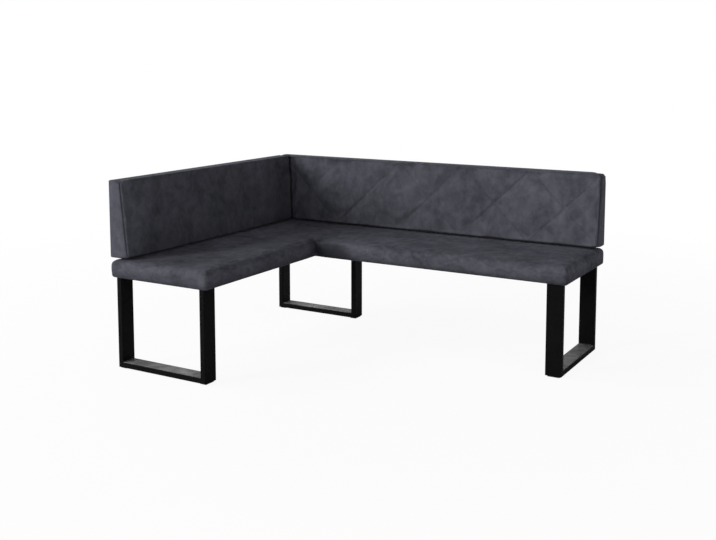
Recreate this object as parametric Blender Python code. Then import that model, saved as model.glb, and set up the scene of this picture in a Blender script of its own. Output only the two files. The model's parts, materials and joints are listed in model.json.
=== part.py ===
"""Corner bench: an upholstered L-shaped seat with two wedge backs on three flat-tube leg frames.

Metres, +Z up. The origin is on the floor, under the middle of the bench's box. The long side
runs along +X, the backs stand along the rear (+Y) and the left (-X), and the sitter faces -Y.
"""
import bmesh
import bpy
from math import cos, hypot, pi, radians, sin, tan
from mathutils import Matrix, Vector

# Overall sizes
LONG_SIDE = 1.680
SHORT_SIDE = 1.285
MODULE_DEPTH = 0.500
SEAT_UNDERSIDE = 0.390
SEAT_THICKNESS = 0.080

# Backs: wedges, upright behind and leaning in front
BACK_LIFT = 0.004
BACK_HEIGHT = 0.320
BACK_TOP_DEPTH = 0.060
BACK_FOOT_DEPTH = 0.095
BACK_ROUNDING = 0.016
BACK_REAR_ROUNDING = 0.006
BACK_CROWN = 0.004
BACK_CROWN_REACH = 0.090
BACK_PLAIN_STEPS = 14
CORNER_JOINT = 0.0010

# Diamond quilting of the long back
QUILT_WIDTH = 0.330
QUILT_CENTRE = 0.860
QUILT_STEPS = 12
QUILT_DEPTH = 0.005
QUILT_REACH = 0.070
QUILT_SWELL = 0.6

# Upholstery
FABRIC = 0.0015
PADDING = 0.006
BACK_PADDING = 0.009
QUILT_PADDING = 0.012
SEAT_CROWN = 0.004
SEAT_DRAW_IN = 0.002
SEAT_TOP_ROUNDING = 0.018
SEAT_FOOT_ROUNDING = 0.008
SEAT_PLAN_ROUNDING = 0.022
SEAT_INNER_ROUNDING = 0.012
SEAT_LEAST_ROUNDING = 0.003
SEAT_FOOT_ANGLES = (0, 45, 90)
SEAT_SHOULDER_ANGLES = (0, 25, 50, 70, 90)
SEAT_CROWN_SHARES = (0.3, 0.65, 1.0)
SEAT_SIDE_STEPS = (2, 4, 6, 2, 7, 5)
SEAT_ARC_STEPS = 4
SEAT_HEM = 0.030
BACK_HEM = 0.025
FOAM_SKIRT = 0.012
FOAM_ARC_STEPS = 3
BACK_FOAM_EDGE = 0.015

# Timber
DECK = 0.012
RAIL_HEIGHT = 0.020
WIDE_RAIL = 0.080
NARROW_RAIL = 0.045
LONG_CROSS_RAILS = 2
BACK_BOARD = 0.012
FOOT_RAIL_DEPTH = 0.045
FOOT_RAIL_HEIGHT = 0.030
STILE_WIDTH = 0.040
STILE_DEPTH = 0.030
STILE_HEIGHT = 0.220

# Leg frames, of flat rectangular tube
TUBE_WIDTH = 0.070
TUBE_THICKNESS = 0.024
TUBE_WALL = 0.002
TUBE_ROUNDING = 0.0025
TUBE_INNER_ROUNDING = 0.0006
LEG_PLATE = 0.005
LEG_SIDE_INSET = 0.008
LEG_ROOM_INSET = 0.034
LEG_END_INSET = 0.026
CORNER_LEG_INSET = 0.018

# Glides
GLIDE_HEIGHT = 0.004
GLIDE_LENGTH = 0.030
GLIDE_WIDTH = 0.050
GLIDE_INSET = 0.004

# Steel brackets and plates
STRAP = 0.004
STRAP_WIDTH = 0.040
STRAP_FOOT = 0.082
STRAP_RISE = 0.170
STRAP_BEND = 0.006
STRAP_INNER_BEND = 0.0004
STRAP_EDGE = 0.001
CORNER_PLATE = 0.0025
CORNER_PLATE_LEG = 0.240

# Brackets of each back: how many, and how far the outer two stand from its ends
LONG_BRACKET_COUNT = 3
LONG_BRACKET_ENDS = (0.180, 0.540)
SHORT_BRACKET_COUNT = 2
SHORT_BRACKET_ENDS = (0.360, 0.265)

# Screws and their holes
WOOD_SCREW_HEAD = 0.0045
WOOD_SCREW_SHANK = 0.0022
WOOD_SCREW_CONE = 0.0022
LEG_SCREW_HEAD = 0.0078
LEG_SCREW_SHANK = 0.0036
LEG_SCREW_CONE = 0.0040
LEG_SCREW_LENGTH = 0.022
LEG_SCREW_TIP = 0.0015
LEG_SCREW_SETBACK = 0.060
FOOT_SCREW_ROWS = (0.048, 0.068)
FOOT_SCREW_STAGGER = 0.020
BACK_SCREW_HEIGHTS = (0.017, 0.145)
CORNER_SCREW_ROWS = (0.150, 0.220)

# Touching pieces keep this clearance
GAP = 0.0003
CUT_PAST = 0.001

# How finely curves are drawn, and the angles up to which facets are shaded smooth or merged
ROUND_SIDES = 8
BEND_STEPS = 2
SHARP_CORNER = 0.0005
SMOOTH_DEGREES = 40
FLAT_DEGREES = 0.2
LINE_CLEARANCE = 0.008

# Values that follow from the sizes above
LEFT, RIGHT = -LONG_SIDE / 2, LONG_SIDE / 2
REAR, FRONT = SHORT_SIDE / 2, -SHORT_SIDE / 2
SEAT_TOP = SEAT_UNDERSIDE + SEAT_THICKNESS
BACK_FOOT = SEAT_TOP + BACK_LIFT
STRAP_REAR = FABRIC + GAP
SEAT_INSET = STRAP_REAR + STRAP + GAP
CAVITY_INSET = PADDING + SEAT_DRAW_IN
CAVITY_TOP = SEAT_TOP - SEAT_CROWN - PADDING
FRAME_INSET = CAVITY_INSET + FOAM_SKIRT + 2 * GAP
RAIL_FOOT = SEAT_UNDERSIDE + FABRIC + GAP
RAIL_TOP = RAIL_FOOT + RAIL_HEIGHT
DECK_TOP = RAIL_TOP + GAP + DECK
FRAME_LEFT, FRAME_RIGHT = LEFT + SEAT_INSET + FRAME_INSET, RIGHT - FRAME_INSET
FRAME_REAR, FRAME_FRONT = REAR - SEAT_INSET - FRAME_INSET, FRONT + FRAME_INSET
FRAME_INNER_X = LEFT + MODULE_DEPTH - FRAME_INSET
FRAME_INNER_Y = REAR - MODULE_DEPTH + FRAME_INSET
LEG_SPAN = MODULE_DEPTH - LEG_SIDE_INSET - LEG_ROOM_INSET
PLATE_TOP = SEAT_UNDERSIDE - GAP
TUBE_FOOT = GLIDE_HEIGHT + GAP
POST_TOP = PLATE_TOP - LEG_PLATE - GAP


def clear_scene():
    """Remove what the opened file holds, so that the model stands alone."""
    for item in list(bpy.data.objects):
        bpy.data.objects.remove(item, do_unlink=True)


def make_material(name, colour, roughness, metallic=0.0):
    """A plain surface: base colour, roughness and metallic value."""
    finish = bpy.data.materials.new(name)
    finish.use_nodes = True
    shader = finish.node_tree.nodes["Principled BSDF"]
    shader.inputs["Base Color"].default_value = (*colour, 1.0)
    shader.inputs["Roughness"].default_value = roughness
    shader.inputs["Metallic"].default_value = metallic
    finish.diffuse_color = (*colour, 1.0)
    return finish


def place_frame(name, location, turn):
    """An empty that carries a leg frame or a back, turned about the upright axis."""
    empty = bpy.data.objects.new(name, None)
    empty.location = location
    empty.rotation_euler = (0.0, 0.0, turn)
    bpy.context.collection.objects.link(empty)
    return empty


def finish_object(name, bm, material=None, parent=None, smooth=False):
    """Turn a bmesh into a named object with outward faces and its own material."""
    bmesh.ops.recalc_face_normals(bm, faces=bm.faces)
    mesh = bpy.data.meshes.new(name)
    bm.to_mesh(mesh)
    bm.free()
    if smooth:
        mesh.shade_smooth()
        mesh.set_sharp_from_angle(angle=radians(SMOOTH_DEGREES))
    item = bpy.data.objects.new(name, mesh)
    item.parent = parent
    bpy.context.collection.objects.link(item)
    if material is not None:
        mesh.materials.append(material.copy())
    return item


def finish_cutter(name, bm, parent=None):
    """A guide body that only cuts others: hidden from renders and drawn as wire."""
    cutter = finish_object(name, bm, parent=parent)
    cutter.hide_render = True
    cutter.display_type = "WIRE"
    return cutter


def cut(target, *cutters):
    """Cut each body away from the target with a Boolean difference."""
    for cutter in cutters:
        modifier = target.modifiers.new(f"cut_{cutter.name}", "BOOLEAN")
        modifier.operation = "DIFFERENCE"
        modifier.solver = "EXACT"
        modifier.object = cutter


def loft(bm, rings):
    """Skin a row of closed rings that have equal numbers of points, and cap both ends."""
    rows = [[bm.verts.new(point) for point in ring] for ring in rings]
    for lower, upper in zip(rows, rows[1:]):
        for index in range(len(lower)):
            after = (index + 1) % len(lower)
            bm.faces.new((lower[index], lower[after], upper[after], upper[index]))
    bm.faces.new(reversed(rows[0]))
    bm.faces.new(rows[-1])


def add_box(bm, low, high):
    """A rectangular block from its lowest corner to its highest."""
    (x0, y0, z0), (x1, y1, z1) = low, high
    plan = ((x0, y0), (x1, y0), (x1, y1), (x0, y1))
    loft(bm, [[(x, y, z) for x, y in plan] for z in (z0, z1)])


def block(name, low, high, material, parent=None):
    """A rectangular block as an object of its own."""
    bm = bmesh.new()
    add_box(bm, low, high)
    return finish_object(name, bm, material, parent)


def rounded_outline(corners, fillets, arc_steps, divisions=None, draw_in=None):
    """A closed plan: each corner an arc, each side after it split and drawn in towards its middle.

    Corners run anticlockwise. A positive fillet rounds a corner, whichever way it turns.
    """
    count = len(corners)
    divisions = divisions or [1] * count
    draw_in = draw_in or [0.0] * count
    arcs = []
    for index, corner in enumerate(corners):
        here = Vector(corner)
        back = (Vector(corners[index - 1]) - here).normalized()
        ahead = (Vector(corners[(index + 1) % count]) - here).normalized()
        half = back.angle(ahead) / 2
        reach = fillets[index] / tan(half)
        centre = here + (back + ahead).normalized() * (fillets[index] / sin(half))
        start, end = here + back * reach - centre, here + ahead * reach - centre
        sweep = start.angle_signed(end)
        arcs.append([centre + Matrix.Rotation(-sweep * step / arc_steps, 2) @ start
                     for step in range(arc_steps + 1)])
    points = []
    for index, arc in enumerate(arcs):
        points += arc
        start, end = arc[-1], arcs[(index + 1) % count][0]
        along = end - start
        inward = Vector((-along.y, along.x)).normalized()
        for step in range(1, divisions[index]):
            share = step / divisions[index]
            bow = draw_in[index] * 4 * share * (1 - share)
            points.append(start + along * share + inward * bow)
    return points


def l_corners(inset):
    """The L of the seat in plan, anticlockwise from its front left corner, moved in by an inset."""
    left, right = LEFT + SEAT_INSET + inset, RIGHT - inset
    rear, front = REAR - SEAT_INSET - inset, FRONT + inset
    inner_x, inner_y = LEFT + MODULE_DEPTH - inset, REAR - MODULE_DEPTH + inset
    return [(left, front), (inner_x, front), (inner_x, inner_y),
            (right, inner_y), (right, rear), (left, rear)]


def l_ring(inset, height, draw_in=0.0):
    """One ring of the seat cover: the L in plan, with rounded corners, at a height."""
    outer = max(SEAT_PLAN_ROUNDING - inset, SEAT_LEAST_ROUNDING)
    fillets = [outer, outer, SEAT_INNER_ROUNDING + inset, outer, outer, outer]
    bows = [draw_in, draw_in, draw_in, draw_in, 0.0, 0.0]
    plan = rounded_outline(l_corners(inset), fillets, SEAT_ARC_STEPS, SEAT_SIDE_STEPS, bows)
    return [(x, y, height) for x, y in plan]


def make_seat_cover(material):
    """The fabric and wadding over the whole L, crowned on top and hemmed under the rails."""
    edge = SEAT_TOP - SEAT_CROWN
    inside = [l_ring(CAVITY_INSET, CAVITY_TOP),
              l_ring(CAVITY_INSET, SEAT_UNDERSIDE + FABRIC),
              l_ring(SEAT_HEM, SEAT_UNDERSIDE + FABRIC)]
    underside = [l_ring(SEAT_HEM, SEAT_UNDERSIDE)]
    for angle in SEAT_FOOT_ANGLES:
        inset = SEAT_FOOT_ROUNDING * (1 - sin(radians(angle)))
        height = SEAT_UNDERSIDE + SEAT_FOOT_ROUNDING * (1 - cos(radians(angle)))
        underside.append(l_ring(inset, height, SEAT_DRAW_IN * angle / 90))
    shoulder = []
    for angle in SEAT_SHOULDER_ANGLES:
        inset = SEAT_TOP_ROUNDING * (1 - cos(radians(angle)))
        height = edge - SEAT_TOP_ROUNDING * (1 - sin(radians(angle)))
        shoulder.append(l_ring(inset, height, SEAT_DRAW_IN * (1 - angle / 180)))
    crown = []
    for share in SEAT_CROWN_SHARES:
        inset = SEAT_TOP_ROUNDING + share * BACK_CROWN_REACH
        height = edge + SEAT_CROWN * (1 - (1 - share) ** 2)
        crown.append(l_ring(inset, height, SEAT_DRAW_IN * (1 - share) / 2))
    bm = bmesh.new()
    loft(bm, inside + underside + shoulder + crown)
    return finish_object("seat_cover", bm, material, smooth=True)


def make_seat_foam(material):
    """Two foam slabs that meet across the corner, with skirts down the sides of the frame."""
    low, high = RAIL_FOOT, CAVITY_TOP - GAP
    inset = CAVITY_INSET + GAP
    left, right = LEFT + SEAT_INSET + inset, RIGHT - inset
    rear, front = REAR - SEAT_INSET - inset, FRONT + inset
    inner_x, inner_y = LEFT + MODULE_DEPTH - inset, REAR - MODULE_DEPTH + inset
    fillet, sharp = SEAT_PLAN_ROUNDING - CAVITY_INSET, SHARP_CORNER
    bm = bmesh.new()
    hollow = rounded_outline(l_corners(FRAME_INSET - GAP), [sharp] * 6, 1)
    loft(bm, [[(x, y, z) for x, y in hollow] for z in (low - CUT_PAST, DECK_TOP + GAP)])
    frame_space = finish_cutter("seat_frame_space", bm)
    slabs = {
        "seat_foam_long": ([(left, inner_y), (right, inner_y), (right, rear), (left, rear)],
                           [sharp, fillet, fillet, fillet]),
        "seat_foam_short": ([(left, front), (inner_x, front), (inner_x, inner_y - GAP),
                             (left, inner_y - GAP)], [fillet, fillet, sharp, sharp]),
    }
    for name, (corners, fillets) in slabs.items():
        bm = bmesh.new()
        plan = rounded_outline(corners, fillets, FOAM_ARC_STEPS)
        loft(bm, [[(x, y, z) for x, y in plan] for z in (low, high)])
        cut(finish_object(name, bm, material), frame_space)


def make_decks(material):
    """Two plywood decks on the timber frame, butted over the long front rail."""
    deck_foot = RAIL_TOP + GAP
    block("deck_long", (FRAME_LEFT, FRAME_INNER_Y, deck_foot),
          (FRAME_RIGHT, FRAME_REAR, DECK_TOP), material)
    block("deck_short", (FRAME_LEFT, FRAME_FRONT, deck_foot),
          (FRAME_INNER_X, FRAME_INNER_Y - GAP, DECK_TOP), material)


def make_seat_rails(material, holes):
    """The softwood laths under the decks: wide where legs and brackets are screwed on."""
    def rail(name, x0, x1, y0, y1):
        lath = block(name, (x0, y0, RAIL_FOOT), (x1, y1, RAIL_TOP), material)
        cut(lath, *holes.get(name, ()))

    rear_front = FRAME_REAR - WIDE_RAIL
    inner_rear = FRAME_INNER_Y + NARROW_RAIL
    rail("rear_rail_long", FRAME_LEFT, FRAME_RIGHT, rear_front, FRAME_REAR)
    rail("front_rail_long", FRAME_LEFT, FRAME_RIGHT, FRAME_INNER_Y, inner_rear)
    rail("end_rail_right", FRAME_RIGHT - WIDE_RAIL, FRAME_RIGHT, inner_rear + GAP, rear_front - GAP)
    rail("side_rail_corner", FRAME_LEFT, FRAME_LEFT + WIDE_RAIL, inner_rear + GAP, rear_front - GAP)
    bay = (FRAME_RIGHT - WIDE_RAIL - FRAME_LEFT - WIDE_RAIL) / (LONG_CROSS_RAILS + 1)
    for number in range(1, LONG_CROSS_RAILS + 1):
        middle = FRAME_LEFT + WIDE_RAIL + number * bay
        rail(f"cross_rail_long_{number}", middle - NARROW_RAIL / 2, middle + NARROW_RAIL / 2,
             inner_rear + GAP, rear_front - GAP)
    end_rear = FRAME_FRONT + WIDE_RAIL
    short_rear = FRAME_INNER_Y - GAP
    rail("end_rail_left", FRAME_LEFT, FRAME_INNER_X, FRAME_FRONT, end_rear)
    rail("side_rail_short", FRAME_LEFT, FRAME_LEFT + WIDE_RAIL, end_rear + GAP, short_rear)
    rail("front_rail_short", FRAME_INNER_X - NARROW_RAIL, FRAME_INNER_X, end_rear + GAP, short_rear)
    middle = (end_rear + short_rear) / 2
    rail("cross_rail_short", FRAME_LEFT + WIDE_RAIL + GAP, FRAME_INNER_X - NARROW_RAIL - GAP,
         middle - NARROW_RAIL / 2, middle + NARROW_RAIL / 2)


def make_dust_cover(material, holes):
    """The thin black sheet that closes the underside inside the hem."""
    inset = SEAT_HEM + GAP
    bm = bmesh.new()
    loft(bm, [l_ring(inset, SEAT_UNDERSIDE), l_ring(inset, SEAT_UNDERSIDE + FABRIC)])
    cut(finish_object("dust_cover", bm, material), *holes)


def round_rings(profile, matrix):
    """Rings for a turned piece: pairs of radius and height along its axis, placed by a matrix."""
    rings = []
    for radius, height in profile:
        ring = []
        for side in range(ROUND_SIDES):
            angle = 2 * pi * side / ROUND_SIDES
            ring.append(matrix @ Vector((radius * cos(angle), radius * sin(angle), height)))
        rings.append(ring)
    return rings


def make_screw(name, place, material, parent):
    """One countersunk leg screw, its head at the place and its tip up its axis."""
    profile = [(LEG_SCREW_HEAD, 0.0), (LEG_SCREW_SHANK, LEG_SCREW_CONE),
               (LEG_SCREW_SHANK, LEG_SCREW_LENGTH - LEG_SCREW_SHANK),
               (LEG_SCREW_TIP, LEG_SCREW_LENGTH)]
    bm = bmesh.new()
    loft(bm, round_rings(profile, place))
    finish_object(name, bm, material, parent, smooth=True)


def screw_holes(name, places, head, shank, cone, length, parent=None):
    """Countersunk holes that clear a row of screws, as one cutter."""
    profile = [(head + GAP, -CUT_PAST), (head + GAP, GAP), (shank + GAP, cone + GAP),
               (shank + GAP, length + GAP)]
    bm = bmesh.new()
    for place in places:
        loft(bm, round_rings(profile, place))
    return finish_cutter(name, bm, parent)


def strap_holes(name, places, thickness, parent=None):
    """The holes of the small wood screws through a strap or a flat plate."""
    return screw_holes(name, places, WOOD_SCREW_HEAD, WOOD_SCREW_SHANK, WOOD_SCREW_CONE,
                       thickness + CUT_PAST, parent)


def tube_outline(inset):
    """The tube's section: across the frame's plane first, then along its width."""
    corners = [(inset, inset), (TUBE_THICKNESS - inset, inset),
               (TUBE_THICKNESS - inset, TUBE_WIDTH - inset), (inset, TUBE_WIDTH - inset)]
    fillet = max(TUBE_ROUNDING - inset, TUBE_INNER_ROUNDING)
    return rounded_outline(corners, [fillet] * 4, BEND_STEPS)


def make_tube(name, start, end, to_frame, material, parent):
    """A hollow tube whose ends follow start and end, functions of the depth into the frame."""
    outer, inner = tube_outline(0.0), tube_outline(TUBE_WALL)
    rings = []
    for outline, reach in ((outer, start), (outer, end), (inner, end), (inner, start)):
        rings.append([to_frame(depth, across, reach(depth)) for depth, across in outline])
    bm = bmesh.new()
    rows = [[bm.verts.new(point) for point in ring] for ring in rings]
    for lower, upper in zip(rows, rows[1:] + rows[:1]):
        for index in range(len(lower)):
            after = (index + 1) % len(lower)
            bm.faces.new((lower[index], lower[after], upper[after], upper[index]))
    finish_object(name, bm, material, parent, smooth=True)


def leg_screw_places():
    """Where the two leg screws enter the plate, in the leg frame's own coordinates."""
    for along in (LEG_SCREW_SETBACK, LEG_SPAN - LEG_SCREW_SETBACK):
        yield Matrix.Translation((along, TUBE_WIDTH / 2, PLATE_TOP - LEG_PLATE))


def make_leg_frame(name, location, turn, finishes):
    """A welded frame: floor rail and two posts of mitred tube, a plate on top, glides below.

    The frame's own X runs from its wall post to its room post, and its width runs along Y.
    """
    steel, plastic, zinc = finishes["steel"], finishes["plastic"], finishes["zinc"]
    frame = place_frame(f"{name}_frame", location, turn)
    make_tube(f"{name}_rail", lambda depth: depth + GAP, lambda depth: LEG_SPAN - depth - GAP,
              lambda depth, across, reach: (reach, across, TUBE_FOOT + depth), steel, frame)
    make_tube(f"{name}_wall_post", lambda depth: TUBE_FOOT + depth + GAP, lambda depth: POST_TOP,
              lambda depth, across, reach: (depth, across, reach), steel, frame)
    make_tube(f"{name}_room_post", lambda depth: TUBE_FOOT + depth + GAP, lambda depth: POST_TOP,
              lambda depth, across, reach: (LEG_SPAN - depth, across, reach), steel, frame)
    plate = block(f"{name}_plate", (0.0, 0.0, PLATE_TOP - LEG_PLATE),
                  (LEG_SPAN, TUBE_WIDTH, PLATE_TOP), steel, frame)
    places = list(leg_screw_places())
    holes = screw_holes(f"{name}_screw_holes", places, LEG_SCREW_HEAD, LEG_SCREW_SHANK,
                        LEG_SCREW_CONE, LEG_SCREW_LENGTH, frame)
    cut(plate, holes)
    side = (TUBE_WIDTH - GLIDE_WIDTH) / 2
    starts = (GLIDE_INSET, LEG_SPAN - GLIDE_INSET - GLIDE_LENGTH)
    for end, place, start in zip(("wall", "room"), places, starts):
        make_screw(f"{name}_{end}_screw", place, zinc, frame)
        block(f"{name}_{end}_glide", (start, side, 0.0),
              (start + GLIDE_LENGTH, side + GLIDE_WIDTH, GLIDE_HEIGHT), plastic, frame)
    return holes


def back_depth(height):
    """How deep a back is at a height above its foot."""
    return BACK_FOOT_DEPTH + (BACK_TOP_DEPTH - BACK_FOOT_DEPTH) * height / BACK_HEIGHT


def seam_gaps(along, height):
    """Distances from a point of the quilted face to the nearest rising and falling seam."""
    rise = BACK_HEIGHT / QUILT_WIDTH
    offset = along - (LONG_SIDE - QUILT_CENTRE)
    level = (height - BACK_HEIGHT / 2) / rise
    gaps = []
    for value in (offset - level, offset + level):
        nearest = value - QUILT_WIDTH * round(value / QUILT_WIDTH)
        gaps.append(abs(nearest) * rise / hypot(1.0, rise))
    return gaps


def quilt_hollow(along, height):
    """How far the quilted face is drawn in at a point: most on the seams, none between them."""
    swell = min(1.0, min(seam_gaps(along, height)) / QUILT_REACH)
    return QUILT_DEPTH * (1.0 - swell ** QUILT_SWELL)


def wedge_ring(length, start_slant, height, front_wall, level, clearance):
    """A level outline inside a back: the wedge's section at a height, drawn at a level."""
    near = start_slant(height) + BACK_PADDING + clearance
    far = length - BACK_PADDING - clearance
    rear, front = FABRIC + clearance, back_depth(height) - front_wall - 2 * clearance
    plan = ((near, rear), (far, rear), (far, front), (near, front))
    return [(along, depth, BACK_FOOT + level) for along, depth in plan]


def wedge_rings(length, start_slant, front_wall, clearance):
    """The space inside a cover, chamfered at its foot behind the cover's rounded edge."""
    foot, top = FABRIC + clearance, BACK_HEIGHT - BACK_PADDING - clearance
    walls = ((foot, front_wall + BACK_ROUNDING / 2), (BACK_ROUNDING, front_wall), (top, front_wall))
    return [wedge_ring(length, start_slant, height, wall, height, clearance)
            for height, wall in walls]


def back_lines(length, quilted):
    """Where the long cushion's face is divided along its length and its height."""
    rows = [BACK_HEIGHT * step / QUILT_STEPS for step in range(QUILT_STEPS + 1)]
    if quilted:
        step = QUILT_WIDTH / QUILT_STEPS
        origin = (length - QUILT_CENTRE) % step
        inner = [origin + step * number for number in range(int(length / step) + 1)]
    else:
        inner = [length * number / BACK_PLAIN_STEPS for number in range(BACK_PLAIN_STEPS + 1)]
        rows = rows[::2]
    low, high = BACK_ROUNDING, length - BACK_ROUNDING
    inner = [value for value in inner if low + LINE_CLEARANCE < value < high - LINE_CLEARANCE]
    return [0.0, low] + inner + [high, length], rows


def surface_grid(bm, lines, place, split):
    """Skin a block whose faces are divided at the given lines, each point moved by a function."""
    counts = [len(line) - 1 for line in lines]
    found = {}

    def corner(index):
        if index not in found:
            found[index] = bm.verts.new(place(*(line[at] for line, at in zip(lines, index))))
        return found[index]

    for axis in range(3):
        first, second = [other for other in range(3) if other != axis]
        for side in (0, counts[axis]):
            for a in range(counts[first]):
                for b in range(counts[second]):
                    ring = []
                    for step_a, step_b in ((0, 0), (1, 0), (1, 1), (0, 1)):
                        index = [0, 0, 0]
                        index[axis], index[first], index[second] = side, a + step_a, b + step_b
                        ring.append(corner(tuple(index)))
                    if axis == 1 and side:
                        middle = [(line[at] + line[at + 1]) / 2
                                  for line, at in ((lines[first], a), (lines[second], b))]
                        start = 0 if split(*middle) else 1
                        bm.faces.new((ring[start], ring[start + 1], ring[start + 2]))
                        bm.faces.new((ring[start + 2], ring[(start + 3) % 4], ring[start]))
                    else:
                        bm.faces.new(ring)


def make_back_cover(name, length, start_slant, quilted, front_wall, material, parent):
    """The sewn cover with its wadding: crowned or quilted in front, open along its foot.

    start_slant is how far its first end stands in at a height, where it meets the other back.
    """
    size = Vector((length, BACK_FOOT_DEPTH, BACK_HEIGHT))

    def shift(along, height):
        return start_slant(height) * (1.0 - along / length)

    def place(along, depth, height):
        point = Vector((along, depth, height))
        radius = BACK_REAR_ROUNDING if depth <= BACK_REAR_ROUNDING else BACK_ROUNDING
        core = Vector([min(max(value, radius), limit - radius)
                       for value, limit in zip(point, size)])
        out = point - core
        if out.length > 0.0:
            point = core + out.normalized() * radius
        if depth == BACK_FOOT_DEPTH:
            if quilted:
                point.y -= quilt_hollow(along, height)
            edge = min(along, length - along, height, BACK_HEIGHT - height)
            point.y -= BACK_CROWN * max(0.0, 1.0 - edge / BACK_CROWN_REACH) ** 2
        point.y *= back_depth(point.z) / BACK_FOOT_DEPTH
        point.x += shift(point.x, point.z)
        return point + Vector((0.0, 0.0, BACK_FOOT))

    def split(along, height):
        rising, falling = seam_gaps(along, height)
        return rising <= falling

    columns, rows = back_lines(length, quilted)
    depths = [0.0, BACK_REAR_ROUNDING, BACK_FOOT_DEPTH - BACK_ROUNDING, BACK_FOOT_DEPTH]
    bm = bmesh.new()
    surface_grid(bm, (columns, depths, rows), place, split)
    bmesh.ops.recalc_face_normals(bm, faces=bm.faces)
    bmesh.ops.dissolve_limit(bm, angle_limit=radians(FLAT_DEGREES), verts=bm.verts, edges=bm.edges)
    cover = finish_object(name, bm, material, parent, smooth=True)

    opening = wedge_ring(length, start_slant, 0.0, BACK_HEM, -CUT_PAST, 0.0)
    sill = wedge_ring(length, start_slant, 0.0, BACK_HEM, FABRIC, 0.0)
    bm = bmesh.new()
    loft(bm, [opening, sill] + wedge_rings(length, start_slant, front_wall, 0.0))
    cut(cover, finish_cutter(f"{name}_cavity", bm, parent))


def make_back_inside(name, length, start_slant, brackets, front_wall, finishes, parent):
    """Board, foot rail, stiles and the foam wedge that fits round them."""
    timber, plywood, foam = finishes["timber"], finishes["plywood"], finishes["foam"]
    foot, rear = BACK_FOOT + FABRIC + GAP, FABRIC + GAP
    ends = BACK_PADDING + BACK_FOAM_EDGE
    low, high = start_slant(0.0) + ends, length - ends
    board_top = BACK_FOOT + BACK_HEIGHT - BACK_PADDING - BACK_FOAM_EDGE
    rail_rear = rear + BACK_BOARD + GAP
    rail_top = foot + FOOT_RAIL_HEIGHT
    stile_low = rail_top + GAP

    board = block(f"{name}_board", (low, rear, foot), (high, rear + BACK_BOARD, board_top),
                  plywood, parent)
    bm = bmesh.new()
    for middle in brackets:
        half = STRAP_WIDTH / 2 + GAP
        add_box(bm, (middle - half, rear - CUT_PAST, foot - CUT_PAST),
                (middle + half, STRAP_REAR + STRAP + GAP, BACK_FOOT + STRAP_RISE + GAP))
    cut(board, finish_cutter(f"{name}_rebates", bm, parent))

    block(f"{name}_foot_rail", (low, rail_rear, foot),
          (high, rail_rear + FOOT_RAIL_DEPTH, rail_top), timber, parent)

    spaces = [((low, rear - CUT_PAST, foot - CUT_PAST), (high, rear + BACK_BOARD, board_top)),
              ((low, rail_rear - CUT_PAST, foot - CUT_PAST),
               (high, rail_rear + FOOT_RAIL_DEPTH, rail_top))]
    for number, middle in enumerate(brackets, start=1):
        left, right = middle - STILE_WIDTH / 2, middle + STILE_WIDTH / 2
        front = rail_rear + STILE_DEPTH
        block(f"{name}_stile_{number}", (left, rail_rear, stile_low),
              (right, front, stile_low + STILE_HEIGHT), timber, parent)
        spaces.append(((left, rail_rear - CUT_PAST, rail_top - CUT_PAST),
                       (right, front, stile_low + STILE_HEIGHT)))

    bm = bmesh.new()
    loft(bm, wedge_rings(length, start_slant, front_wall, GAP))
    wedge = finish_object(f"{name}_foam", bm, foam, parent)
    for number, (lowest, highest) in enumerate(spaces):
        bm = bmesh.new()
        add_box(bm, [value - GAP for value in lowest], [value + GAP for value in highest])
        cut(wedge, finish_cutter(f"{name}_foam_space_{number}", bm, parent))


def bracket_places(length, count, ends):
    """The middles of a back's brackets along it, evenly spaced between the outer two."""
    first, last = ends[0], length - ends[1]
    return [first + (last - first) * number / (count - 1) for number in range(count)]


def make_brackets(name, places, material, holes, parent):
    """Flat steel angles: a foot under the seat, and a strap up the rear into the back."""
    foot = PLATE_TOP - STRAP
    head = BACK_FOOT + STRAP_RISE
    outer, inner = STRAP_REAR, STRAP_REAR + STRAP
    corners = [(outer, foot), (STRAP_FOOT, foot), (STRAP_FOOT, PLATE_TOP),
               (inner, PLATE_TOP), (inner, head), (outer, head)]
    fillets = [STRAP_BEND, STRAP_EDGE, STRAP_EDGE, STRAP_INNER_BEND, STRAP_EDGE, STRAP_EDGE]
    section = rounded_outline(corners, fillets, BEND_STEPS)
    for number, middle in enumerate(places, start=1):
        sides = (middle - STRAP_WIDTH / 2, middle + STRAP_WIDTH / 2)
        bm = bmesh.new()
        loft(bm, [[(along, depth, height) for depth, height in section] for along in sides])
        cut(finish_object(f"{name}_bracket_{number}", bm, material, parent), *holes)


def make_back(name, length, start_slant, quilted, brackets, location, turn, finishes):
    """A whole back in its own frame: X along it, Y from its rear face forwards, Z up."""
    frame = place_frame(f"{name}_frame", location, turn)
    upright = Matrix.Rotation(-pi / 2, 4, "X")
    back_places = [Matrix.Translation((middle, STRAP_REAR, BACK_FOOT + height)) @ upright
                   for middle in brackets for height in BACK_SCREW_HEIGHTS]
    foot_places = []
    for middle in brackets:
        for side, depth in zip((-1, 1), FOOT_SCREW_ROWS):
            along = middle + side * FOOT_SCREW_STAGGER / 2
            foot_places.append(Matrix.Translation((along, depth, PLATE_TOP - STRAP)))
    holes = (strap_holes(f"{name}_screw_holes", back_places, STRAP, frame),
             strap_holes(f"{name}_foot_screw_holes", foot_places, STRAP, frame))
    front_wall = QUILT_PADDING if quilted else PADDING + BACK_CROWN
    make_back_cover(f"{name}_cover", length, start_slant, quilted, front_wall, finishes["fabric"],
                    frame)
    make_back_inside(name, length, start_slant, brackets, front_wall, finishes, frame)
    make_brackets(name, brackets, finishes["steel"], holes, frame)


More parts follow.
